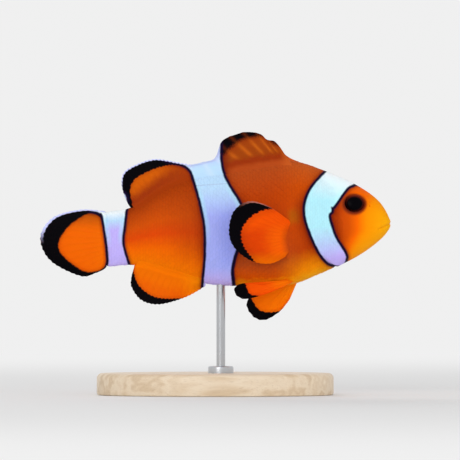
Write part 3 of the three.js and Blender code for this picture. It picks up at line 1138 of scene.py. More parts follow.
@dataclass(frozen=True)
class FinFinish:
    """A painted ribbed fin that grows out of the body's colour, with a black margin.

    Its spans and margins are millimetres, apart from tip_fade, a share of the way out. The joints of the rays
    are how fast they repeat and how high they stand.
    """

    # The colour at the root; the dorsal fins' dark ones paint the shadow at the fin's base.
    root: Colour
    web: Colour
    tip: Colour
    ray: Colour
    accents: tuple[Accent, ...] = ()
    join: Span = (0.0, 0.7)
    root_fade: Span = (1.0, 4.2)
    tip_fade: Span = (0.45, 0.95)
    ray_start: Span = (0.3, 1.6)
    ray_contrast: float = 0.16
    streaks: float = 0.0
    scallop: float = 0.16
    speckle: float = 0.14
    margin_blur: float = 0.1
    margin_shade: tuple[float, float] = (0.9, 0.3)
    margin_colour: Colour = (140, 38, 4)
    join_swing: float = 0.6
    root_swing: float = 1.4
    tip_swing: float = 0.3
    margin_swing: float = 0.16
    bar_swing: float = 0.2
    rim_swing: float = 0.1
    bar_base: Tint = Tint(0.8, (186, 202, 248))
    bar_base_span: Span = (0.5, 3.0)
    bar_ray: Tint = Tint(0.3, (226, 238, 252))
    bar_rim: Tint = Tint(0.4, (160, 160, 205))
    bar_rim_span: Span = (0.8, 0.2)
    pale: Colour = (198, 204, 250)
    pale_band: Span = (0.42, 0.2)
    grain: Tint = Tint(0.5, (250, 160, 50), "SOFT_LIGHT")
    mottle_size: float = 1.3 * MM
    grain_size: float = 0.25 * MM
    ray_joints: tuple[float, float] = (150.0, 0.3)
    flesh: FleshFinish = FleshFinish()
    paint: Paint = Paint(roughness=0.42, relief=0.02 * MM, translucency=0.08)

    def web_colour(self, spot: Spot, swing: Signal) -> Signal:
        """The fin's colour, from the body's at its root to the tip's, without its rays; on the dorsal fins
        the root colour is painted shadow.

        Args:
            spot: The spot.
            swing: Noise from -0.5 to 0.5 that the fades follow.

        Returns:
            The colour.
        """
        graph = swing.graph
        base, reach = graph.marks(Mark.BASE, Mark.REACH)
        joined = (base + swing * self.join_swing).between(*self.join)
        colour = graph.mix(joined, self.flesh.orange(spot), self.root)
        colour = graph.mix((base + swing * self.root_swing).between(*self.root_fade), colour, self.web)
        colour = graph.mix((reach + swing * self.tip_swing).between(*self.tip_fade), colour, self.tip)
        for accent in self.accents:
            colour = accent.over(colour, swing)
        return colour

    def build(self, name: str) -> bpy.types.Material:
        """Makes the material.

        Args:
            name: Its name.

        Returns:
            The material.
        """
        graph = Graph.for_material(name)
        spot = Spot.on(graph)
        depth, edge, paleness = graph.marks(Mark.ORANGE, Mark.EDGE, Mark.PALE)
        ray, reach, base = graph.marks(Mark.RAY, Mark.REACH, Mark.BASE)
        mottle, grain = graph.noise(self.mottle_size, 3.0), graph.noise(self.grain_size, 2.0)
        swing, speckle = mottle - 0.5, grain - 0.5

        colour = self.web_colour(spot, swing)
        colour = graph.mix(ray * base.between(*self.ray_start) * self.ray_contrast, colour, self.ray)
        colour = self.grain.over(self.flesh.beside_bar(colour, spot), speckle)

        margin = depth + (ray - 0.5) * self.scallop + swing * self.margin_swing + speckle * self.speckle
        shade, shade_share = self.margin_shade
        colour = Tint(shade_share, self.margin_colour).over(colour, margin.between(shade, 0.0))
        black = margin.between(self.margin_blur, -self.margin_blur) * (1.0 - ray * self.streaks)
        colour = graph.mix(black, colour, BLACK)

        rim = edge + swing * self.rim_swing
        bar = self.bar_base.over(self.flesh.bars(spot), base.between(*self.bar_base_span))
        bar = self.bar_rim.over(self.bar_ray.over(bar, ray), rim.between(*self.bar_rim_span))
        colour = self.flesh.edged(colour, bar, spot.moved(white=swing * self.bar_swing))
        colour = graph.mix(paleness * rim.between(*self.pale_band), colour, self.pale)
        joints, joint_height = self.ray_joints
        height = grain * 0.4 + (reach * joints).sine() * ray * joint_height
        return self.paint.coat(colour, mottle, height)


@dataclass(frozen=True)
class MapleFinish:
    """Oiled maple with its grain along the plinth. A grain is its size and its stretch."""

    stops: Stops = ((0.25, (214, 190, 158)), (0.45, (224, 203, 174)), (0.85, (236, 220, 196)))
    figure: tuple[float, Vector3] = (2.4 * MM, (16, 1, 1.6))
    fibres: tuple[float, Vector3] = (0.3 * MM, (30, 1, 1))
    pores: tuple[float, Vector3] = (0.14 * MM, (18, 1, 1))
    rings: float = 26.0
    ring_share: float = 0.16
    figure_share: float = 0.8
    fibre_share: float = 0.3
    darkening: float = 0.08
    pore: Tint = Tint(0.3, (180, 150, 118))
    pore_edge: Span = (0.57, 0.68)
    pore_wall: Span = (0.56, 0.7)
    pore_depth: float = 0.01 * MM

    def build(self, name: str) -> bpy.types.Material:
        """Makes the material.

        Args:
            name: Its name.

        Returns:
            The material.
        """
        graph = Graph.for_material(name)
        (figure, stretch), (fibre, fibre_stretch), (pore, pore_stretch) = self.figure, self.fibres, self.pores
        figure, fibres = graph.noise(figure, 2.0, stretch), graph.noise(fibre, 3.0, fibre_stretch)
        pores = graph.noise(pore, 2.0, pore_stretch)
        rings = (figure * self.rings).sine() * self.ring_share + figure * self.figure_share
        rings = rings + fibres * self.fibre_share - self.darkening
        colour = self.pore.over(graph.ramp(rings.clamped(), self.stops), pores.between(*self.pore_edge))
        normal = graph.bump(1.0 - pores.between(*self.pore_wall), self.pore_depth)
        return graph.surface({
            "Base Color": colour, "Roughness": 0.36 + pores * 0.2, "Coat Weight": 0.15,
            "Coat Roughness": 0.25, "Normal": normal,
        })


@dataclass(frozen=True)
class SteelFinish:
    """Brushed steel with its brushing round the rod."""

    colour: Colour = (196, 198, 201)
    brushed: Tint = Tint(0.25, (150, 152, 156))
    brush_size: float = 0.06 * MM
    brush_stretch: Vector3 = (40, 40, 1)
    brush_depth: float = 0.004 * MM

    def build(self, name: str) -> bpy.types.Material:
        """Makes the material.

        Args:
            name: Its name.

        Returns:
            The material.
        """
        graph = Graph.for_material(name)
        brushing = graph.noise(self.brush_size, 2.0, self.brush_stretch)
        return graph.surface({
            "Base Color": self.brushed.over(self.colour, brushing), "Metallic": 1.0,
            "Roughness": 0.24 + brushing * 0.14, "Normal": graph.bump(brushing, self.brush_depth),
        })


# ------------------------------------------------------------------------------------------------ pieces


COAT_DEPTH = 0.17 * MM  # how far the skin lies under the form where scales cover it
ALL_SMOOTH = 180.0  # the angle in degrees above which no edge lies
FAR_INSIDE = 9.0  # a depth past every soft edge, for places where a patch doesn't count


class Piece:
    """A mesh on its way to being a piece of the model."""

    def __init__(self, name: str, bm: bmesh.types.BMesh) -> None:
        """Turns a finished bmesh into an object.

        Args:
            name: The piece's name.
            bm: The shape, which is freed.
        """
        self.mesh = bpy.data.meshes.new(name)
        bm.to_mesh(self.mesh)
        bm.free()
        self.obj = bpy.data.objects.new(name, self.mesh)
        bpy.context.scene.collection.objects.link(self.obj)

    @property
    def points(self) -> Array:
        """The places of the vertices, one row each."""
        flat = np.empty(len(self.mesh.vertices) * 3)
        self.mesh.vertices.foreach_get("co", flat)
        return flat.reshape(-1, 3)

    @points.setter
    def points(self, rows: Array) -> None:
        """Moves the vertices."""
        self.mesh.vertices.foreach_set("co", rows.astype(np.float32).ravel())
        self.mesh.update()

    def carry(self, mark: Mark, values: Array) -> None:
        """Stores one number of a kind on each vertex."""
        layer = self.mesh.attributes.new(mark.value, "FLOAT", "POINT")
        layer.data.foreach_set("value", values.astype(np.float32))

    def unwrap(self, name: str, places: Array) -> None:
        """Adds a UV map.

        Args:
            name: Its name.
            places: The place of each vertex on it, one row each.
        """
        corners = np.empty(len(self.mesh.loops), np.int64)
        self.mesh.loops.foreach_get("vertex_index", corners)
        layer = self.mesh.uv_layers.new(name=name)
        layer.data.foreach_set("uv", places[corners].astype(np.float32).ravel())

    def face_outwards(self) -> None:
        """Turns every face of each closed shell outwards."""
        bm = bmesh.new()
        bm.from_mesh(self.mesh)
        bmesh.ops.recalc_face_normals(bm, faces=bm.faces[:])
        bm.to_mesh(self.mesh)
        bm.free()

    def finish(
        self, material: bpy.types.Material, slot: str, nodes: Sequence[str] = (), crisp: float = ALL_SMOOTH,
    ) -> None:
        """Dresses the piece and ties it to the frame.

        Args:
            material: Its material.
            slot: The record's material slot; not used.
            nodes: The solids that it stands for.
            crisp: The angle in degrees above which an edge stays sharp.
        """
        self.mesh.materials.append(material)
        self.mesh.shade_smooth()
        if crisp < ALL_SMOOTH:
            self.mesh.set_sharp_from_angle(angle=math.radians(crisp))
        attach(self.obj, BODY)
        if nodes:
            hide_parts(*nodes)
        LOG.info("%s: %d vertices, %d faces", self.obj.name, len(self.mesh.vertices), len(self.mesh.polygons))


@dataclass
class Painter:
    """Works out the marks that the skin, the scales and the fins share."""

    form: BodyForm
    relief: HeadRelief
    markings: Markings
    tail_patch: Patch
    relief_end: Span = (32.0, 28.0)

    def relief_at(self, places: Array, station: Array) -> Array:
        """How far the head's relief lifts (station, height) rows, in metres, with its end set by stations."""
        return self.relief.lift(places) * smoothstep(*self.relief_end, station)

    def mark(self, piece: Piece, places: Array, barred: bool = True) -> None:
        """Stores the shared marks on a piece.

        Args:
            piece: The piece.
            places: The (station, height) of each of its vertices.
            barred: Whether the white bars run over it.
        """
        white = self.markings.white(places) if barred else np.full(len(places), -FAR_INSIDE)
        piece.carry(Mark.WHITE, white * self.form.ruler.millimetres)
        piece.carry(Mark.RISE, self.form.rise(places))
        piece.carry(Mark.STATION, places[:, 0])

    def mark_flesh(self, piece: Piece, places: Array) -> None:
        """Stores the marks of the skin and the scales.

        Args:
            piece: The piece.
            places: The (station, height) of each of its vertices.
        """
        station, millimetres = places[:, 0], self.form.ruler.millimetres
        self.mark(piece, places)
        depth = self.tail_patch.depth(places) * millimetres
        piece.carry(Mark.ORANGE, np.where(station > self.form.tail_start, depth, FAR_INSIDE))
        # Painted shade in the head's creases, kept to the head.
        piece.carry(Mark.CREASE, self.relief.crease(places) * (station < sum(self.relief_end) / 2))
        piece.carry(Mark.ORBIT, self.relief.eye_shade(places) * millimetres)


@dataclass
class Skin:
    """One skin over all the flesh, from the lips to the root of the tail fin."""

    painter: Painter
    rings: int = 300
    round: int = 256
    crowding: float = 0.1
    tail_gap: float = 0.02
    coat_depth: float = COAT_DEPTH
    bare_depth: float = 0.02 * MM
    coat_start: Span = (11.0, 15.0)
    station_step: float = 0.05
    tip: float = 3.0
    nodes: tuple[str, ...] = (
        "head", "upper_lip", "lower_jaw", "gill_cover_right", "gill_cover_left", "trunk", "tail_stem",
    )

    def normals(self, station: Array, turn: Array, lift: Array) -> Array:
        """The directions out of the smooth skin.

        Args:
            station: The stations.
            turn: The turns round the body.
            lift: How far outside the form the skin lies, in metres.

        Returns:
            One row for each station.
        """
        form, step = self.painter.form, self.station_step
        front, rear = np.maximum(station - step, 0.0), station + step
        ahead = form.point(rear, turn, lift) - form.point(front, turn, lift)
        beside = form.point(station, turn + TURN_STEP, lift) - form.point(station, turn - TURN_STEP, lift)
        normal = np.cross(beside, ahead)
        normal /= np.maximum(np.linalg.norm(normal, axis=1), TINY ** 2)[:, None]
        from_axis = form.point(station, turn, lift)
        from_axis[:, 2] -= form.ruler.z(form.section(station)[0])
        from_axis[:, 0] = np.where(station < self.tip, MM, 0.0)
        normal *= np.sign((normal * from_axis).sum(1) + TINY ** 3)[:, None]
        normal[station < TINY] = (1.0, 0.0, 0.0)
        return normal

    def build(self, material: bpy.types.Material) -> None:
        """Makes the skin from a ball with its poles at the snout and the tail.

        Args:
            material: Its material.
        """
        form = self.painter.form
        bm = bmesh.new()
        bmesh.ops.create_uvsphere(bm, u_segments=self.round, v_segments=self.rings, radius=1.0)
        piece = Piece("skin", bm)
        x, y, z = piece.points.T
        share = np.arccos(np.clip(z, -1.0, 1.0)) / math.pi
        turn = np.arctan2(y, x)
        even = (1.0 - self.crowding) * share ** 2 + self.crowding * share ** 3 * (2.0 - share)
        station = (form.tail_end - self.tail_gap) * even
        coat = self.coat_depth - self.bare_depth
        sunk = -(self.bare_depth + coat * smoothstep(*self.coat_start, station))
        smooth = form.point(station, turn, sunk)
        places = form.ruler.side_view(smooth)
        lift = self.painter.relief_at(places, station)
        piece.points = smooth + self.normals(station, turn, sunk) * lift[:, None]
        piece.face_outwards()
        self.painter.mark_flesh(piece, places)
        piece.finish(material, "skin", self.nodes)


class Girth:
    """Looks up where a length round the body from its middle line comes to lie."""

    STATIONS = 420
    TURNS = 361
    STEPS = 321
    FIRST = 2.0
    TAIL_GAP = 0.1
    WITHIN = 1.001  # how far from its last row a table is still read between two rows

    def __init__(self, form: BodyForm) -> None:
        """Measures the half sections.

        Args:
            form: The body's form.
        """
        self.stations = np.linspace(self.FIRST, form.tail_end - self.TAIL_GAP, self.STATIONS)
        turns = np.linspace(-math.pi / 2, math.pi / 2, self.TURNS)
        grid_station, grid_turn = (g.ravel() for g in np.meshgrid(self.stations, turns, indexing="ij"))
        points = form.point(grid_station, grid_turn).reshape(self.STATIONS, self.TURNS, 3)
        steps = np.linalg.norm(np.diff(points, axis=1), axis=2)
        length = np.concatenate([np.zeros((self.STATIONS, 1)), np.cumsum(steps, axis=1)], axis=1)
        middle = self.TURNS // 2
        length -= length[:, middle:middle + 1]
        self.lowest, self.highest = length[:, 0], length[:, -1]
        self.reach = float(max(-self.lowest.min(), self.highest.max()))
        self.lengths = np.linspace(-self.reach, self.reach, self.STEPS)
        self.turns = np.array([np.interp(self.lengths, row, turns) for row in length])

    def span(self, station: Array) -> tuple[Array, Array]:
        """The lengths down to the belly, below 0, and up to the back at each station."""
        return tuple(np.interp(station, self.stations, ends) for ends in (self.lowest, self.highest))

    def turn(self, station: Array, length: Array) -> Array:
        """The turn at a length round the body.

        Args:
            station: The stations.
            length: The lengths from the middle line, in metres, upwards positive.

        Returns:
            The turns in radians.
        """
        a = (station - self.stations[0]) / (self.stations[1] - self.stations[0])
        b = (length + self.reach) / (2 * self.reach) * (self.STEPS - 1)
        a, b = np.clip(a, 0, self.STATIONS - self.WITHIN), np.clip(b, 0, self.STEPS - self.WITHIN)
        i, j = a.astype(int), b.astype(int)
        s, t = a - i, b - j
        low = self.turns[i, j] * (1 - t) + self.turns[i, j + 1] * t
        high = self.turns[i + 1, j] * (1 - t) + self.turns[i + 1, j + 1] * t
        return low * (1 - s) + high * s


@dataclass
class Scales:
    """The scales of one side: thin plates that overlap towards the tail, in staggered rows.

    Pitches are millimetres at a station. What has no unit is a share of a pitch or of the rows' spacing, and
    a plate's heights are those at the usual pitch.
    """

    painter: Painter
    girth: Girth
    side: Side
    pitches: Pairs = ((12, 0.46), (25, 0.58), (32, 0.7), (60, 0.68), (84, 0.54))
    usual_pitch: float = 0.7
    first_station: float = 13.6
    last_station: float = 84.0
    fan_margins: tuple[float, float] = (2.0, 4.0)
    fan_steps: int = 200
    tail_gap: float = 0.15
    row_share: float = 1.7
    row_margin: float = 0.1
    scatter: float = 0.2
    gap_reach: Span = (-1.3, 0.5)
    gap_share: float = 0.3
    face_edge: float = 13.4
    face_bow: float = 0.022
    face_level: float = -2.0
    chin_step: float = 1.2
    chin_level: float = -6.0
    eye_reach: float = 5.2
    plate_cells: int = 4
    overlap: float = 2.6
    set_back: float = 0.25
    breadth: float = 1.14
    root_narrowing: float = 0.25
    rounding: float = 0.36
    thickness: float = 0.05 * MM
    tilt: float = 0.13 * MM
    crown: float = 0.025 * MM
    fold_in: float = 0.5
    skin_depth: float = COAT_DEPTH
    bake_patch: float = 0.003
    bake_height: float = 0.96
    crisp: float = 50.0

    def pitch(self, station: Array | float) -> Array | float:
        """The distance between columns of scales at a station, in metres."""
        return np.interp(station, *zip(*self.pitches)) * MM

    def plate(self) -> bmesh.types.BMesh:
        """Makes the plate that each scale starts as.

        Returns:
            A square of 1, X across and Y from root to edge, with a rim and an underside 1 below it.
        """
        bm = bmesh.new()
        bmesh.ops.create_grid(bm, x_segments=self.plate_cells, y_segments=self.plate_cells, size=0.5)
        rim = bmesh.ops.extrude_edge_only(bm, edges=[e for e in bm.edges if e.is_boundary])
        for vertex in (part for part in rim["geom"] if isinstance(part, bmesh.types.BMVert)):
            vertex.co.z = -1.0
        bmesh.ops.holes_fill(bm, edges=[e for e in bm.edges if e.is_boundary], sides=0)
        return bm

    def columns(self) -> Array:
        """Sets the scales out in even columns.

        Returns:
            One row of station, length round the body, pitch and row spacing for each scale.
        """
        found = []
        station, column = self.first_station, 0
        while station < self.last_station:
            pitch = float(self.pitch(station))
            spacing = pitch * self.row_share
            (low,), (high,) = self.girth.span(np.array([station]))
            rows = np.arange(math.ceil(low / spacing), math.floor(high / spacing) + 1)
            lengths = (rows + 0.5 * (column % 2)) * spacing
            margin = self.row_margin * spacing
            lengths = lengths[(lengths > low + margin) & (lengths < high - margin)]
            found += [(station, length, pitch, spacing) for length in lengths]
            station += pitch / self.painter.form.ruler.unit
            column += 1
        return np.array(found)

    def roots(self) -> Array:
        """Scatters the columns a little and leaves out the face, the eye and the gill opening.

        Returns:
            One row of station, length round the body, pitch and row spacing for each scale.
        """
        form, relief = self.painter.form, self.painter.relief
        rows = self.columns()
        generator = np.random.default_rng(SEED + self.side.value)
        scatter = generator.uniform(-self.scatter, self.scatter, (len(rows), 2))
        rows[:, 0] += scatter[:, 0] * rows[:, 2] / form.ruler.unit
        rows[:, 1] += scatter[:, 1] * rows[:, 3]
        places = form.ruler.side_view(form.point(rows[:, 0], self.girth.turn(rows[:, 0], rows[:, 1])))
        station, height = places.T
        behind, there = relief.gill_distance(places)
        in_gap = (behind > self.gap_reach[0]) & (behind < self.gap_reach[1]) & (there > self.gap_share)
        face = self.face_edge + self.face_bow * (height - self.face_level) ** 2
        on_face = station < face + self.chin_step * (height < self.chin_level)
        by_eye = relief.eye_distance(places) < self.eye_reach
        return rows[~(in_gap | on_face | by_eye)]

    def fan(self, run: Array, station: Array) -> Array:
        """Follows the rows as they part or draw together.

        Args:
            run: Where the rows are followed to.
            station: Where they come from.

        Returns:
            How much further apart they lie at each place of the run.
        """
        before, after = self.fan_margins
        stations = np.linspace(self.first_station - before, self.last_station + after, self.fan_steps)
        pitches = self.pitch(stations)
        return np.interp(run, stations, pitches) / np.interp(station, stations, pitches)

    def build(self, material: bpy.types.Material) -> None:
        """Makes the scales as one piece.

        Args:
            material: Their material.
        """
        form = self.painter.form
        roots = self.roots()
        plate_mesh = bpy.data.meshes.new("plate")
        plate = self.plate()
        corners = len(plate.verts)
        plate.to_mesh(plate_mesh)
        plate.free()
        bm = bmesh.new()
        for _ in roots:
            bm.from_mesh(plate_mesh)
        bpy.data.meshes.remove(plate_mesh)
        piece = Piece(f"scales_{self.side.label}", bm)

        x, tip, z = piece.points.T
        tip = tip + 0.5
        x = np.sin(x * math.pi)
        bow = 1.0 - np.sqrt(1.0 - np.minimum(x ** 2, 1.0))
        y = tip * (1.0 - self.rounding * tip * bow)
        x *= 0.5 * (1.0 - self.root_narrowing * (1.0 - y) ** 2)

        station, length, pitch, spacing = (np.repeat(column, corners) for column in roots.T)
        run = station + (y - self.set_back) * self.overlap * pitch / form.ruler.unit
        run = np.minimum(run, form.tail_end - self.tail_gap)
        along = length * self.fan(run, station) + x * self.breadth * spacing
        turn = self.girth.turn(run, along)
        low, high = self.girth.span(run)
        over = np.maximum(along - high, 0.0) + np.maximum(low - along, 0.0)
        stand = self.tilt * y - self.thickness * (z < -0.5)
        lift = stand * pitch / (self.usual_pitch * MM) - self.skin_depth
        lift += self.crown * (1.0 - (2.0 * x) ** 2) * y - over * self.fold_in
        lift += self.painter.relief_at(form.ruler.side_view(form.point(run, turn)), run)
        points = form.point(run, turn, lift)
        points[:, 1] *= self.side.value
        piece.points = points
        piece.face_outwards()

        self.painter.mark_flesh(piece, form.ruler.side_view(points))
        generator = np.random.default_rng(2 * SEED + self.side.value)
        piece.carry(Mark.TIP, tip)
        piece.carry(Mark.SIDE, 2.0 * x)
        piece.carry(Mark.TINT, np.repeat(generator.uniform(-1.0, 1.0, len(roots)), corners))
        root_turn = self.girth.turn(roots[:, 0], roots[:, 1])
        root_place = np.stack([roots[:, 0] / 100.0, 0.5 + root_turn / math.pi * self.bake_height], axis=-1)
        local = np.stack([y - 0.5, x], axis=-1) * self.bake_patch
        piece.unwrap("OFBake", np.repeat(root_place, corners, axis=0) + local)
        piece.finish(material, "skin", crisp=self.crisp)


@dataclass(frozen=True)
class FinShape:
    """A fan of rays from a fin's root to its free edge. Its outlines are in percent, its depths in metres.

    What has no unit, such as a taper, the fork and the pale stretch, is a share of the way along or out.
    """

    node: str
    root: Pairs
    edge: Pairs
    orange: Pairs
    rays: int
    lean: float = 1.0
    fork: float = 0.45
    fork_length: float = 0.4
    fork_width: float = 0.23
    ray_width: float = 0.17
    ray_narrowing: float = 0.05
    ray_thinning: float = 0.6
    crest: Crest | None = None
    sheath_depth: float = 0.9 * MM
    sheath_step: float = 0.1 * MM
    sheath_top: Span = (0.5, 1.0)
    blade_start: Span = (-0.6 * MM, 0.8 * MM)
    dive: float = 0.9
    root_half: float = 0.5 * MM
    fillet: float = 1.6 * MM
    edge_half: float = 0.07 * MM
    ray_half: float = 0.08 * MM
    rim_share: float = 0.35
    rim_edge: Span = (1.02, 0.96)
    rim_ends: tuple[Span, Span] = ((-0.004, 0.01), (1.004, 0.99))
    notch: float = 0.15 * MM
    notch_start: float = 0.75
    sway: float = 0.25 * MM
    waves: float = 1.5
    taper_lead: float = 0.01
    front_taper: float = 0.06
    rear_taper: float = 0.06
    pale_from: float = -1.0
    pale_until: float = 0.0
    pale_fade: float = 0.12
    side: Side | None = None
    sunk: float = 0.7 * MM
    flare: float = 0.0
    curl: float = 0.0
    clasp: float = 1.5 * MM


@dataclass
class Fin:
    """One ribbed fin of the shape that its record gives."""

    painter: Painter
    shape: FinShape
    columns_per_ray: int = 12
    rows: int = 54
    crisp: float = 60.0

    def rays(self, u: Array, v: Array) -> Array:
        """How much of a ray there is, from 0 between rays to 1 on one; soft rays fork on their way out.

        Args:
            u: The places along the fin, 0 to 1.
            v: The places from the root, 0, to the edge, 1.

        Returns:
            The share of a ray at each place.
        """
        shape = self.shape
        phase = u * (shape.rays - 1)
        beside = np.abs(phase - np.round(phase))
        parted = shape.fork_width * smoothstep(shape.fork, shape.fork + shape.fork_length, v)
        return bell(beside - parted, shape.ray_width - shape.ray_narrowing * v)

    def foot(self, places: Array, beyond: Array) -> Array:
        """Half the thickness of the fleshy foot on which a fin stands; it meets the flanks at a tangent.

        Args:
            places: (station, height) rows.
            beyond: How far outside the body's outline each row lies, in metres.

        Returns:
            The half thickness of each row.
        """
        form, shape = self.painter.form, self.shape
        unit, depth, step = form.ruler.unit, shape.sheath_depth, shape.sheath_step
        outline = form.outline(places[:, 0], shape.crest)

        def girth(inside: float) -> Array:
            """The body's half width at a depth below its outline."""
            heights = outline - shape.crest.value * inside / unit
            return form.girth_at(np.stack([places[:, 0], heights], axis=-1))

        width = girth(depth)
        slope = (girth(depth + step) - girth(depth - step)) / (2 * step)
        outside = width * np.exp(-(beyond + depth) * slope / width)
        below = np.maximum(-beyond - depth, 0.0)
        inside = form.girth_at(places) - shape.dive * below ** 2 / depth
        return np.where(below > 0.0, inside, outside)

    def blade(self, u: Array, v: Array, ray: Array) -> Array:
        """Half the thickness of the web and its rays, with a rounded rim.

        Args:
            u: The places along the fin, 0 to 1.
            v: The places from the root, 0, to the edge, 1.
            ray: How much of a ray there is at each.

        Returns:
            The half thickness at each place, in metres.
        """
        shape = self.shape
        blade = shape.edge_half + shape.ray_half * ray * (1.0 - shape.ray_thinning * v)
        rim = np.minimum(smoothstep(*shape.rim_edge, v), band(u, *shape.rim_ends))
        return blade * (shape.rim_share + (1.0 - shape.rim_share) * rim)

    def aside(self, u: Array, v: Array, root: Array, distance: Array) -> Array:
        """Where the fin's middle lies across the fish.

        Args:
            u: The places along the fin, 0 to 1.
            v: The places from the root, 0, to the edge, 1.
            root: The (station, height) of the root below each place.
            distance: How far out from there each place lies, in metres.

        Returns:
            The Y of each place.
        """
        shape = self.shape
        wave = shape.sway * np.sin(2.0 * math.pi * shape.waves * u) * v ** 2
        if not shape.side:
            return wave
        away = (shape.flare - shape.curl * distance) * distance ** 2 / (distance + shape.clasp)
        return shape.side.value * (self.painter.form.girth_at(root) - shape.sunk + away + wave)

    def build(self, material: bpy.types.Material) -> None:
        """Makes the fin.

        Args:
            material: Its material.
        """
        shape, ruler = self.shape, self.painter.form.ruler
        bm = bmesh.new()
        columns = self.columns_per_ray * shape.rays
        bmesh.ops.create_grid(bm, x_segments=columns, y_segments=self.rows, size=0.5)
        bmesh.ops.solidify(bm, geom=bm.faces[:], thickness=1.0)
        piece = Piece(shape.node, bm)
        x, y, z = piece.points.T
        u, v = x + 0.5, y + 0.5
        face = np.where(z > -0.5, 1.0, -1.0)
        root, edge = Spline(shape.root).at(u ** shape.lean), Spline(shape.edge).at(u)
        length = np.linalg.norm(edge - root, axis=1) * ruler.unit
        ray = self.rays(u, v)
        notch = shape.notch / np.maximum(length, shape.notch)
        reach = v - notch * (1.0 - ray) * smoothstep(shape.notch_start, 1.0, v)
        places = root + (edge - root) * reach[:, None]
        distance = length * reach

        front, rear = (-shape.taper_lead, shape.front_taper), (1.0 + shape.taper_lead, 1.0 - shape.rear_taper)
        taper = band(u, front, rear)
        blade = self.blade(u, v, ray)
        if shape.crest:
            outline = self.painter.form.outline(places[:, 0], shape.crest)
            base = (places[:, 1] - outline) * shape.crest.value * ruler.unit
            foot = self.foot(places, base) * (1.0 - smoothstep(*shape.sheath_top, v))
            half = foot * taper + blade * smoothstep(*shape.blade_start, base)
        else:
            base = distance
            half = blade + shape.root_half * taper * np.exp(-distance / shape.fillet)
        across = self.aside(u, v, root, distance) + face * half
        piece.points = np.stack([ruler.x(places[:, 0]), across, ruler.z(places[:, 1])], axis=-1)
        piece.face_outwards()

        self.painter.mark(piece, places, barred=shape.side is None)
        piece.carry(Mark.ORANGE, Patch(shape.orange).depth(places) * ruler.millimetres)
        piece.carry(Mark.EDGE, (1.0 - v) * length / MM)
        starts = (shape.pale_from, shape.pale_from + shape.pale_fade)
        ends = (shape.pale_until, shape.pale_until - shape.pale_fade)
        piece.carry(Mark.PALE, band(u, starts, ends) * (shape.pale_until > 0.0))
        piece.carry(Mark.RAY, ray)
        piece.carry(Mark.REACH, v)
        piece.carry(Mark.BASE, base / MM)
        piece.finish(material, "fin", (shape.node,), crisp=self.crisp)


SPINY_DORSAL = FinShape(
    "dorsal_fin_spiny", ((26.4, 14.4), (34.4, 14.6), (45.8, 12.7), (57.2, 10.8)),
    ((26.2, 17.7), (29.7, 19.4), (31.5, 21.8), (33.2, 23.6), (35.3, 24.0), (37.2, 25.6), (41.0, 26.2),
     (44.5, 25.4), (47.8, 23.9), (49.0, 21.7), (50.2, 18.7), (53.0, 17.7), (57.2, 16.8)),
    ((48.0, 17.6), (47.1, 19.9), (45.3, 21.6), (42.8, 23.6), (39.4, 24.5), (36.4, 24.8), (34.6, 23.4),
     (32.6, 22.4), (28.0, 21.2), (24.0, 8.0), (48.0, 8.0)),
    rays=11, lean=2.6, fork=2.0, ray_width=0.2, notch=0.08 * MM, ray_half=0.1 * MM, crest=Crest.BACK,
    front_taper=0.12, rear_taper=0.001,
)
SOFT_DORSAL = FinShape(
    "dorsal_fin_soft", ((56.8, 10.9), (65.8, 7.1), (72.8, 2.9)),
    ((56.8, 16.8), (61.0, 17.6), (66.9, 18.5), (71.5, 17.4), (75.9, 14.9), (76.8, 11.7), (76.0, 8.0),
     (74.8, 5.4)),
    ((73.5, 4.6), (74.3, 9.4), (73.3, 12.2), (70.9, 14.0), (66.3, 16.0), (61.5, 16.7), (57.0, 15.4),
     (55.0, 12.0), (73.0, 1.0)),
    rays=15, sway=-0.35 * MM, pale_until=0.85, crest=Crest.BACK, front_taper=0.001,
)
ANAL = FinShape(
    "anal_fin", ((52.6, -14.2), (62.9, -11.3), (72.4, -9.1)),
    ((52.8, -17.9), (58.3, -21.0), (65.8, -23.1), (71.0, -22.0), (73.9, -18.3), (74.0, -15.5), (73.3, -12.9)),
    ((73.3, -13.8), (72.3, -16.8), (70.4, -19.1), (67.0, -21.0), (61.8, -21.4), (54.0, -20.6), (50.0, -17.0),
     (52.0, -9.0), (75.0, -8.0)),
    rays=14, lean=1.15, sway=0.3 * MM, ray_half=0.05 * MM, crest=Crest.BELLY,
)
CAUDAL = FinShape(
    "caudal_fin", ((81.0, 3.0), (81.0, -4.6), (81.0, -12.3)),
    ((81.6, 3.6), (88.6, 4.0), (96.5, 1.7), (100.0, -4.0), (97.1, -10.6), (88.6, -15.0), (84.0, -14.1),
     (81.6, -13.0)),
    ((82.4, 1.4), (85.7, 2.9), (89.7, 0.9), (92.6, -1.7), (94.6, -5.4), (93.9, -8.6), (89.7, -12.3),
     (86.3, -13.8), (82.2, -12.9), (80.6, -10.1), (80.9, -6.3), (81.7, -0.6)),
    rays=16, sway=0.5 * MM, ray_half=0.04 * MM, pale_until=0.52, root_half=1.2 * MM, fillet=3.0 * MM,
)
PECTORALS = tuple(FinShape(
    f"pectoral_fin_{side.label}", ((27.6, -0.2), (28.3, -3.6), (28.3, -7.0)),
    ((29.6, 1.4), (35.1, 5.0), (40.6, 6.3), (44.9, 3.4), (46.2, -2.6), (44.4, -7.2), (39.6, -10.7),
     (34.4, -11.4), (30.2, -9.6)),
    ((34.0, 4.2), (36.7, 3.7), (40.1, 1.7), (42.5, -1.8), (42.2, -5.7), (39.8, -9.4), (36.0, -13.0),
     (26.0, -12.0), (25.0, 2.0), (29.5, 5.6)),
    rays=18, sway=0.25 * MM, root_half=0.28 * MM, ray_half=0.05 * MM, side=side, flare=0.86, curl=20.0,
    pale_from=0.08, pale_until=0.36,
) for side in Side)
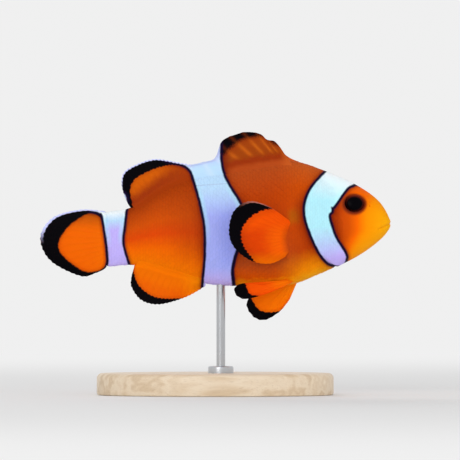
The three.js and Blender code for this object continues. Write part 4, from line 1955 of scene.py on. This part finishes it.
PELVICS = (
    FinShape(
        "pelvic_fin_right", ((29.6, -15.9), (28.6, -16.4), (27.7, -16.6)),
        ((36.5, -17.5), (41.4, -16.9), (44.3, -17.9), (44.4, -20.0), (41.8, -21.5), (37.0, -20.5),
         (31.8, -18.6)),
        ((41.2, -15.0), (41.2, -17.6), (40.1, -20.0), (37.2, -20.7), (33.0, -22.0), (26.0, -18.0),
         (27.0, -13.0)),
        rays=7, sway=0.15 * MM, root_half=0.6 * MM, side=Side.RIGHT, sunk=0.3 * MM, flare=0.22,
    ),
    FinShape(
        "pelvic_fin_left", ((29.8, -16.0), (28.2, -16.2), (26.3, -16.0)),
        ((36.0, -19.6), (40.4, -21.4), (41.0, -24.0), (38.9, -26.9), (35.7, -27.6), (31.6, -25.2),
         (28.8, -21.8)),
        ((40.0, -19.0), (39.0, -22.6), (37.0, -24.9), (33.3, -25.3), (30.2, -23.8), (24.0, -16.0),
         (33.0, -13.0)),
        rays=7, sway=0.2 * MM, root_half=0.6 * MM, side=Side.LEFT, sunk=0.3 * MM, flare=0.2,
    ),
)

FINS: tuple[tuple[FinFinish, tuple[FinShape, ...]], ...] = (
    (FinFinish(
        # A dark root colour: painted shadow at the fin's base.
        root=(154, 52, 10), web=(158, 66, 8), tip=(160, 70, 14), ray=(214, 106, 22), join=(-0.6, 0.8),
        root_fade=(0.9, 2.4), ray_start=(1.4, 2.8), ray_contrast=0.6, streaks=0.18, scallop=-0.1,
        margin_blur=0.65, margin_shade=(1.8, 0.4), speckle=1.1, accents=(
            Accent(Mark.STATION, 32.0, 28.5, TAN), Accent(Mark.STATION, 45.2, 47.8, BISTRE, 0.6),
        ),
    ), (SPINY_DORSAL,)),
    (FinFinish(
        # A dark root colour: painted shadow at the fin's base.
        root=(156, 53, 8), web=(204, 92, 4), tip=(210, 96, 4), ray=(180, 74, 2), pale_band=(0.34, 0.18),
        accents=(Accent(Mark.STATION, 68.0, 59.0, UMBER, 0.9),),
    ), (SOFT_DORSAL,)),
    (FinFinish(
        root=(240, 113, 0), web=(236, 103, 0), tip=(234, 97, 0), ray=(218, 88, 0), root_fade=(1.5, 5.0),
        accents=(Accent(Mark.STATION, 61.0, 54.5, AMBER, 0.6),),
    ), (ANAL,)),
    (FinFinish(
        root=(238, 106, 0), web=(238, 102, 0), tip=(232, 94, 0), ray=(216, 88, 0), join=(-1.0, 3.0),
        ray_contrast=0.15, scallop=0.08, margin_blur=0.2, pale_band=(0.8, 0.5),
        accents=(Accent(Mark.RISE, 0.62, 0.95, (186, 84, 6)),),
    ), (CAUDAL,)),
    (FinFinish(
        root=(246, 96, 3), web=(224, 68, 3), tip=(206, 62, 3), ray=(212, 60, 0), join=(0.6, 2.8),
        root_fade=(3.2, 7.5), ray_start=(1.0, 3.0), margin_shade=(1.8, 0.25), scallop=0.28,
        pale=(172, 108, 96), pale_band=(0.66, 0.46),
        accents=(Accent(Mark.RISE, 0.41, 0.53, (246, 84, 2)), Accent(Mark.RISE, 0.3, 0.2, (232, 104, 0))),
    ), PECTORALS),
    (FinFinish(
        root=(250, 118, 0), web=(244, 86, 2), tip=(240, 78, 2), ray=(230, 82, 0), join=(-1.0, 0.0),
        root_fade=(1.0, 6.0),
    ), PELVICS[:1]),
    (FinFinish(
        # Brighter than the right pelvic's colours: painted light that makes up for the shade that the body
        # and the right pelvic fin cast on this fin.
        root=(255, 136, 4), web=(255, 124, 0), tip=(250, 112, 0), ray=(236, 104, 0), join=(-1.0, 0.0),
        root_fade=(1.0, 6.0),
    ), PELVICS[1:]),
)


@dataclass
class Eye:
    """A glass eye set into the head, with its axis square to the head's side."""

    form: BodyForm
    relief: HeadRelief
    side: Side
    size: float = 0.88
    depth_share: float = 0.5
    segments: int = 64
    rings: int = 48

    def axis(self) -> Vector:
        """The direction in which the eye looks.

        Returns:
            A vector of length 1, square to the head's side.
        """
        station, height = (np.array([place]) for place in self.relief.eye)
        level, above, _, _ = self.form.section(station)
        turn = np.arcsin((height - level) / above)
        here = self.form.point(station, turn)[0]
        forward = self.form.point(station - 1.0, turn)[0] - here
        upward = self.form.point(station, turn + TURN_STEP)[0] - here
        across = np.cross(upward, forward)
        return Vector((across[0], across[1] * self.side.value, across[2])).normalized()

    def build(self, material: bpy.types.Material) -> None:
        """Makes the eye.

        Args:
            material: Its material.
        """
        node = f"eye_{self.side.label}"
        low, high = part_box(node)
        bm = bmesh.new()
        bmesh.ops.create_uvsphere(bm, u_segments=self.segments, v_segments=self.rings, radius=1.0)
        piece = Piece(node, bm)
        points = piece.points
        radius = self.size * (high.z - low.z) / 2
        turn = np.array(Vector((0.0, 0.0, 1.0)).rotation_difference(self.axis()).to_matrix())
        centre = np.array((low + high) / 2)
        station, height = self.relief.eye
        centre[[0, 2]] = self.form.ruler.x(station), self.form.ruler.z(height)
        piece.points = (points * (radius, radius, radius * self.depth_share)) @ turn.T + centre
        places = self.form.ruler.side_view(piece.points)
        piece.carry(Mark.ORBIT, self.relief.eye_shade(places) * self.form.ruler.millimetres)
        piece.finish(material, "eye", (node,))


Bevel = tuple[float, float, int]  # a rim's height, from 0 at the foot to 1, its bevel and that bevel's steps


@dataclass
class DisplayStand:
    """An oval maple plinth with a steel rod and collar that hold the fish by its belly."""

    segments: int = 144
    top_bevel: Bevel = (1.0, 1.2 * MM, 6)
    foot_bevel: Bevel = (0.0, 0.5 * MM, 2)
    collar_bevel: Bevel = (1.0, 0.4 * MM, 4)
    crisp: float = 40.0

    def disc(self, name: str, node: str, *bevels: Bevel) -> Piece:
        """A round or oval block that fills a node's box.

        Args:
            name: The piece's name.
            node: The node.
            bevels: The rims to round.

        Returns:
            The piece.
        """
        low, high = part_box(node)
        size, middle = high - low, (low + high) / 2
        bm = bmesh.new()
        sizes = {"radius1": 0.5, "radius2": 0.5, "depth": 1.0}
        bmesh.ops.create_cone(bm, cap_ends=True, segments=self.segments, **sizes)
        bmesh.ops.scale(bm, vec=size, verts=bm.verts[:])
        bmesh.ops.translate(bm, vec=middle, verts=bm.verts[:])
        for share, offset, steps in bevels:
            level = low.z + share * size.z
            rim = [e for e in bm.edges if all(abs(v.co.z - level) < TINY / 10 for v in e.verts)]
            bmesh.ops.bevel(
                bm, geom=rim, offset=offset, segments=steps, profile=0.5, affect="EDGES", material=-1,
            )
        return Piece(name, bm)

    def build(self, maple: bpy.types.Material, steel: bpy.types.Material) -> None:
        """Makes the plinth, the collar and the rod.

        Args:
            maple: The plinth's material.
            steel: The metal's material.
        """
        plinth = self.disc("stand_plinth", "stand_base", self.top_bevel, self.foot_bevel)
        plinth.finish(maple, "maple", ("stand_base",), crisp=self.crisp)
        collar = self.disc("stand_collar_ring", "stand_collar", self.collar_bevel)
        collar.finish(steel, "steel", ("stand_collar",), crisp=self.crisp)
        rod = self.disc("stand_rod_bar", "stand_rod")
        rod.finish(steel, "steel", ("stand_rod",), crisp=self.crisp)


# ------------------------------------------------------------------------------------------------ studio


@dataclass
class Lamp:
    """A soft round lamp that faces the fish."""

    name: str
    place: Vector3
    size: float
    power: float
    mirrored: bool = False

    def build(self, target: Vector) -> None:
        """Makes the lamp.

        Args:
            target: What it faces.
        """
        light = bpy.data.lights.new(self.name, "AREA")
        light.shape = "DISK"
        light.size = self.size
        light.energy = self.power
        lamp = bpy.data.objects.new(self.name, light)
        lamp.location = target + Vector(self.place)
        lamp.rotation_euler = (-Vector(self.place)).to_track_quat("-Z", "Y").to_euler()
        lamp.visible_glossy = self.mirrored
        lamp.visible_camera = False
        bpy.context.scene.collection.objects.link(lamp)


@dataclass
class Studio:
    """The pale floor, the soft lamps, the world and the camera."""

    ruler: Ruler
    level: float = 0.87
    world_strength: float = 0.5
    floor_level: float = 0.86
    floor_radius: float = 6.0
    floor_segments: int = 64
    fade: Span = (0.16, 0.5)
    middle: tuple[float, float] = (45.8, -1.83)
    frame_width: float = 131.2
    distance: float = 1.5
    sensor_width: float = 36.0
    lamps: tuple[Lamp, ...] = (
        Lamp("key", (-0.32, -0.78, 0.34), 0.6, 2.0, mirrored=True),
        Lamp("front", (0.05, -0.92, 0.0), 0.9, 3.3),
        Lamp("fill", (0.7, -0.5, 0.1), 0.7, 1.4),
        Lamp("back", (-0.3, 0.85, 0.4), 0.7, 3.4),
        Lamp("top", (0.1, 0.0, 0.95), 0.7, 0.8),
    )

    def build(self) -> None:
        """Makes the studio."""
        low, high = CAD_BOX
        target = Vector((low + high) / 2)
        for lamp in self.lamps:
            lamp.build(target)
        self.build_floor(low.z)
        self.build_world()
        self.build_camera()

    def build_floor(self, height: float) -> None:
        """Makes the floor, which fades into the background some way off.

        Args:
            height: The floor's height.
        """
        graph = Graph.for_material("floor")
        place = graph.node("ShaderNodeVectorMath", {"operation": "LENGTH"}, {0: graph.place()})
        far = graph.output(place, "Value").between(*self.fade)
        near = graph.node("ShaderNodeBsdfDiffuse", None, {"Color": grey(self.floor_level)})
        glow = graph.node("ShaderNodeEmission", None, {"Color": grey(self.level), "Strength": 1.0})
        mixed = graph.node("ShaderNodeMixShader", None, {
            0: far, 1: graph.output(near), 2: graph.output(glow),
        })
        graph.node("ShaderNodeOutputMaterial", None, {"Surface": graph.output(mixed)})
        bm = bmesh.new()
        bmesh.ops.create_circle(bm, cap_ends=True, segments=self.floor_segments, radius=self.floor_radius)
        bmesh.ops.translate(bm, vec=(0.0, 0.0, height), verts=bm.verts[:])
        floor = Piece("floor", bm)
        floor.mesh.materials.append(graph.owner)

    def build_world(self) -> None:
        """Makes the even light all round and the pale background that the camera and the metal see."""
        world = bpy.data.worlds.new("studio")
        bpy.context.scene.world = world
        graph = Graph(world)
        path = graph.node("ShaderNodeLightPath")
        camera, glossy, through = (
            graph.output(path, f"Is {kind} Ray") for kind in ("Camera", "Glossy", "Transmission"))
        seen = camera.math("MAXIMUM", camera, glossy.math("MAXIMUM", glossy, through))
        even = {"Color": grey(1.0), "Strength": self.world_strength}
        light = graph.node("ShaderNodeBackground", None, even)
        shown = graph.node("ShaderNodeBackground", None, {"Color": grey(self.level)})
        mixed = graph.node("ShaderNodeMixShader", None, {
            0: seen, 1: graph.output(light), 2: graph.output(shown),
        })
        graph.node("ShaderNodeOutputWorld", None, {"Surface": graph.output(mixed)})

    def build_camera(self) -> None:
        """Makes the camera, level with the fish and square to its right side."""
        data = bpy.data.cameras.new("camera")
        data.sensor_width = self.sensor_width
        data.lens = self.sensor_width * self.distance / (self.frame_width * self.ruler.unit)
        camera = bpy.data.objects.new("camera", data)
        station, height = self.middle
        camera.location = (self.ruler.x(station), -self.distance, self.ruler.z(height))
        camera.rotation_euler = (math.pi / 2, 0.0, 0.0)
        bpy.context.scene.collection.objects.link(camera)
        bpy.context.scene.camera = camera


def main() -> None:
    """Builds the fish, its stand and the studio, and reports each piece."""
    logging.basicConfig(level=logging.INFO, format="%(message)s")
    bpy.context.scene.view_settings.view_transform = "Standard"
    form = BodyForm(Ruler.from_frame())
    painter = Painter(form, HeadRelief(), Markings(), Patch(CAUDAL.orange))

    Skin(painter).build(FleshFinish().build("skin"))
    scale_material = FleshFinish().build("scales", ScaleFinish())
    girth = Girth(form)
    for side in Side:
        Scales(painter, girth, side).build(scale_material)
    for finish, shapes in FINS:
        material = finish.build(shapes[0].node)
        for shape in shapes:
            Fin(painter, shape).build(material)
    eye_material = EyeFinish().build("eye")
    for side in Side:
        Eye(form, painter.relief, side).build(eye_material)
    DisplayStand().build(MapleFinish().build("maple"), SteelFinish().build("steel"))
    Studio(form.ruler).build()


if __name__ == "__main__":
    main()
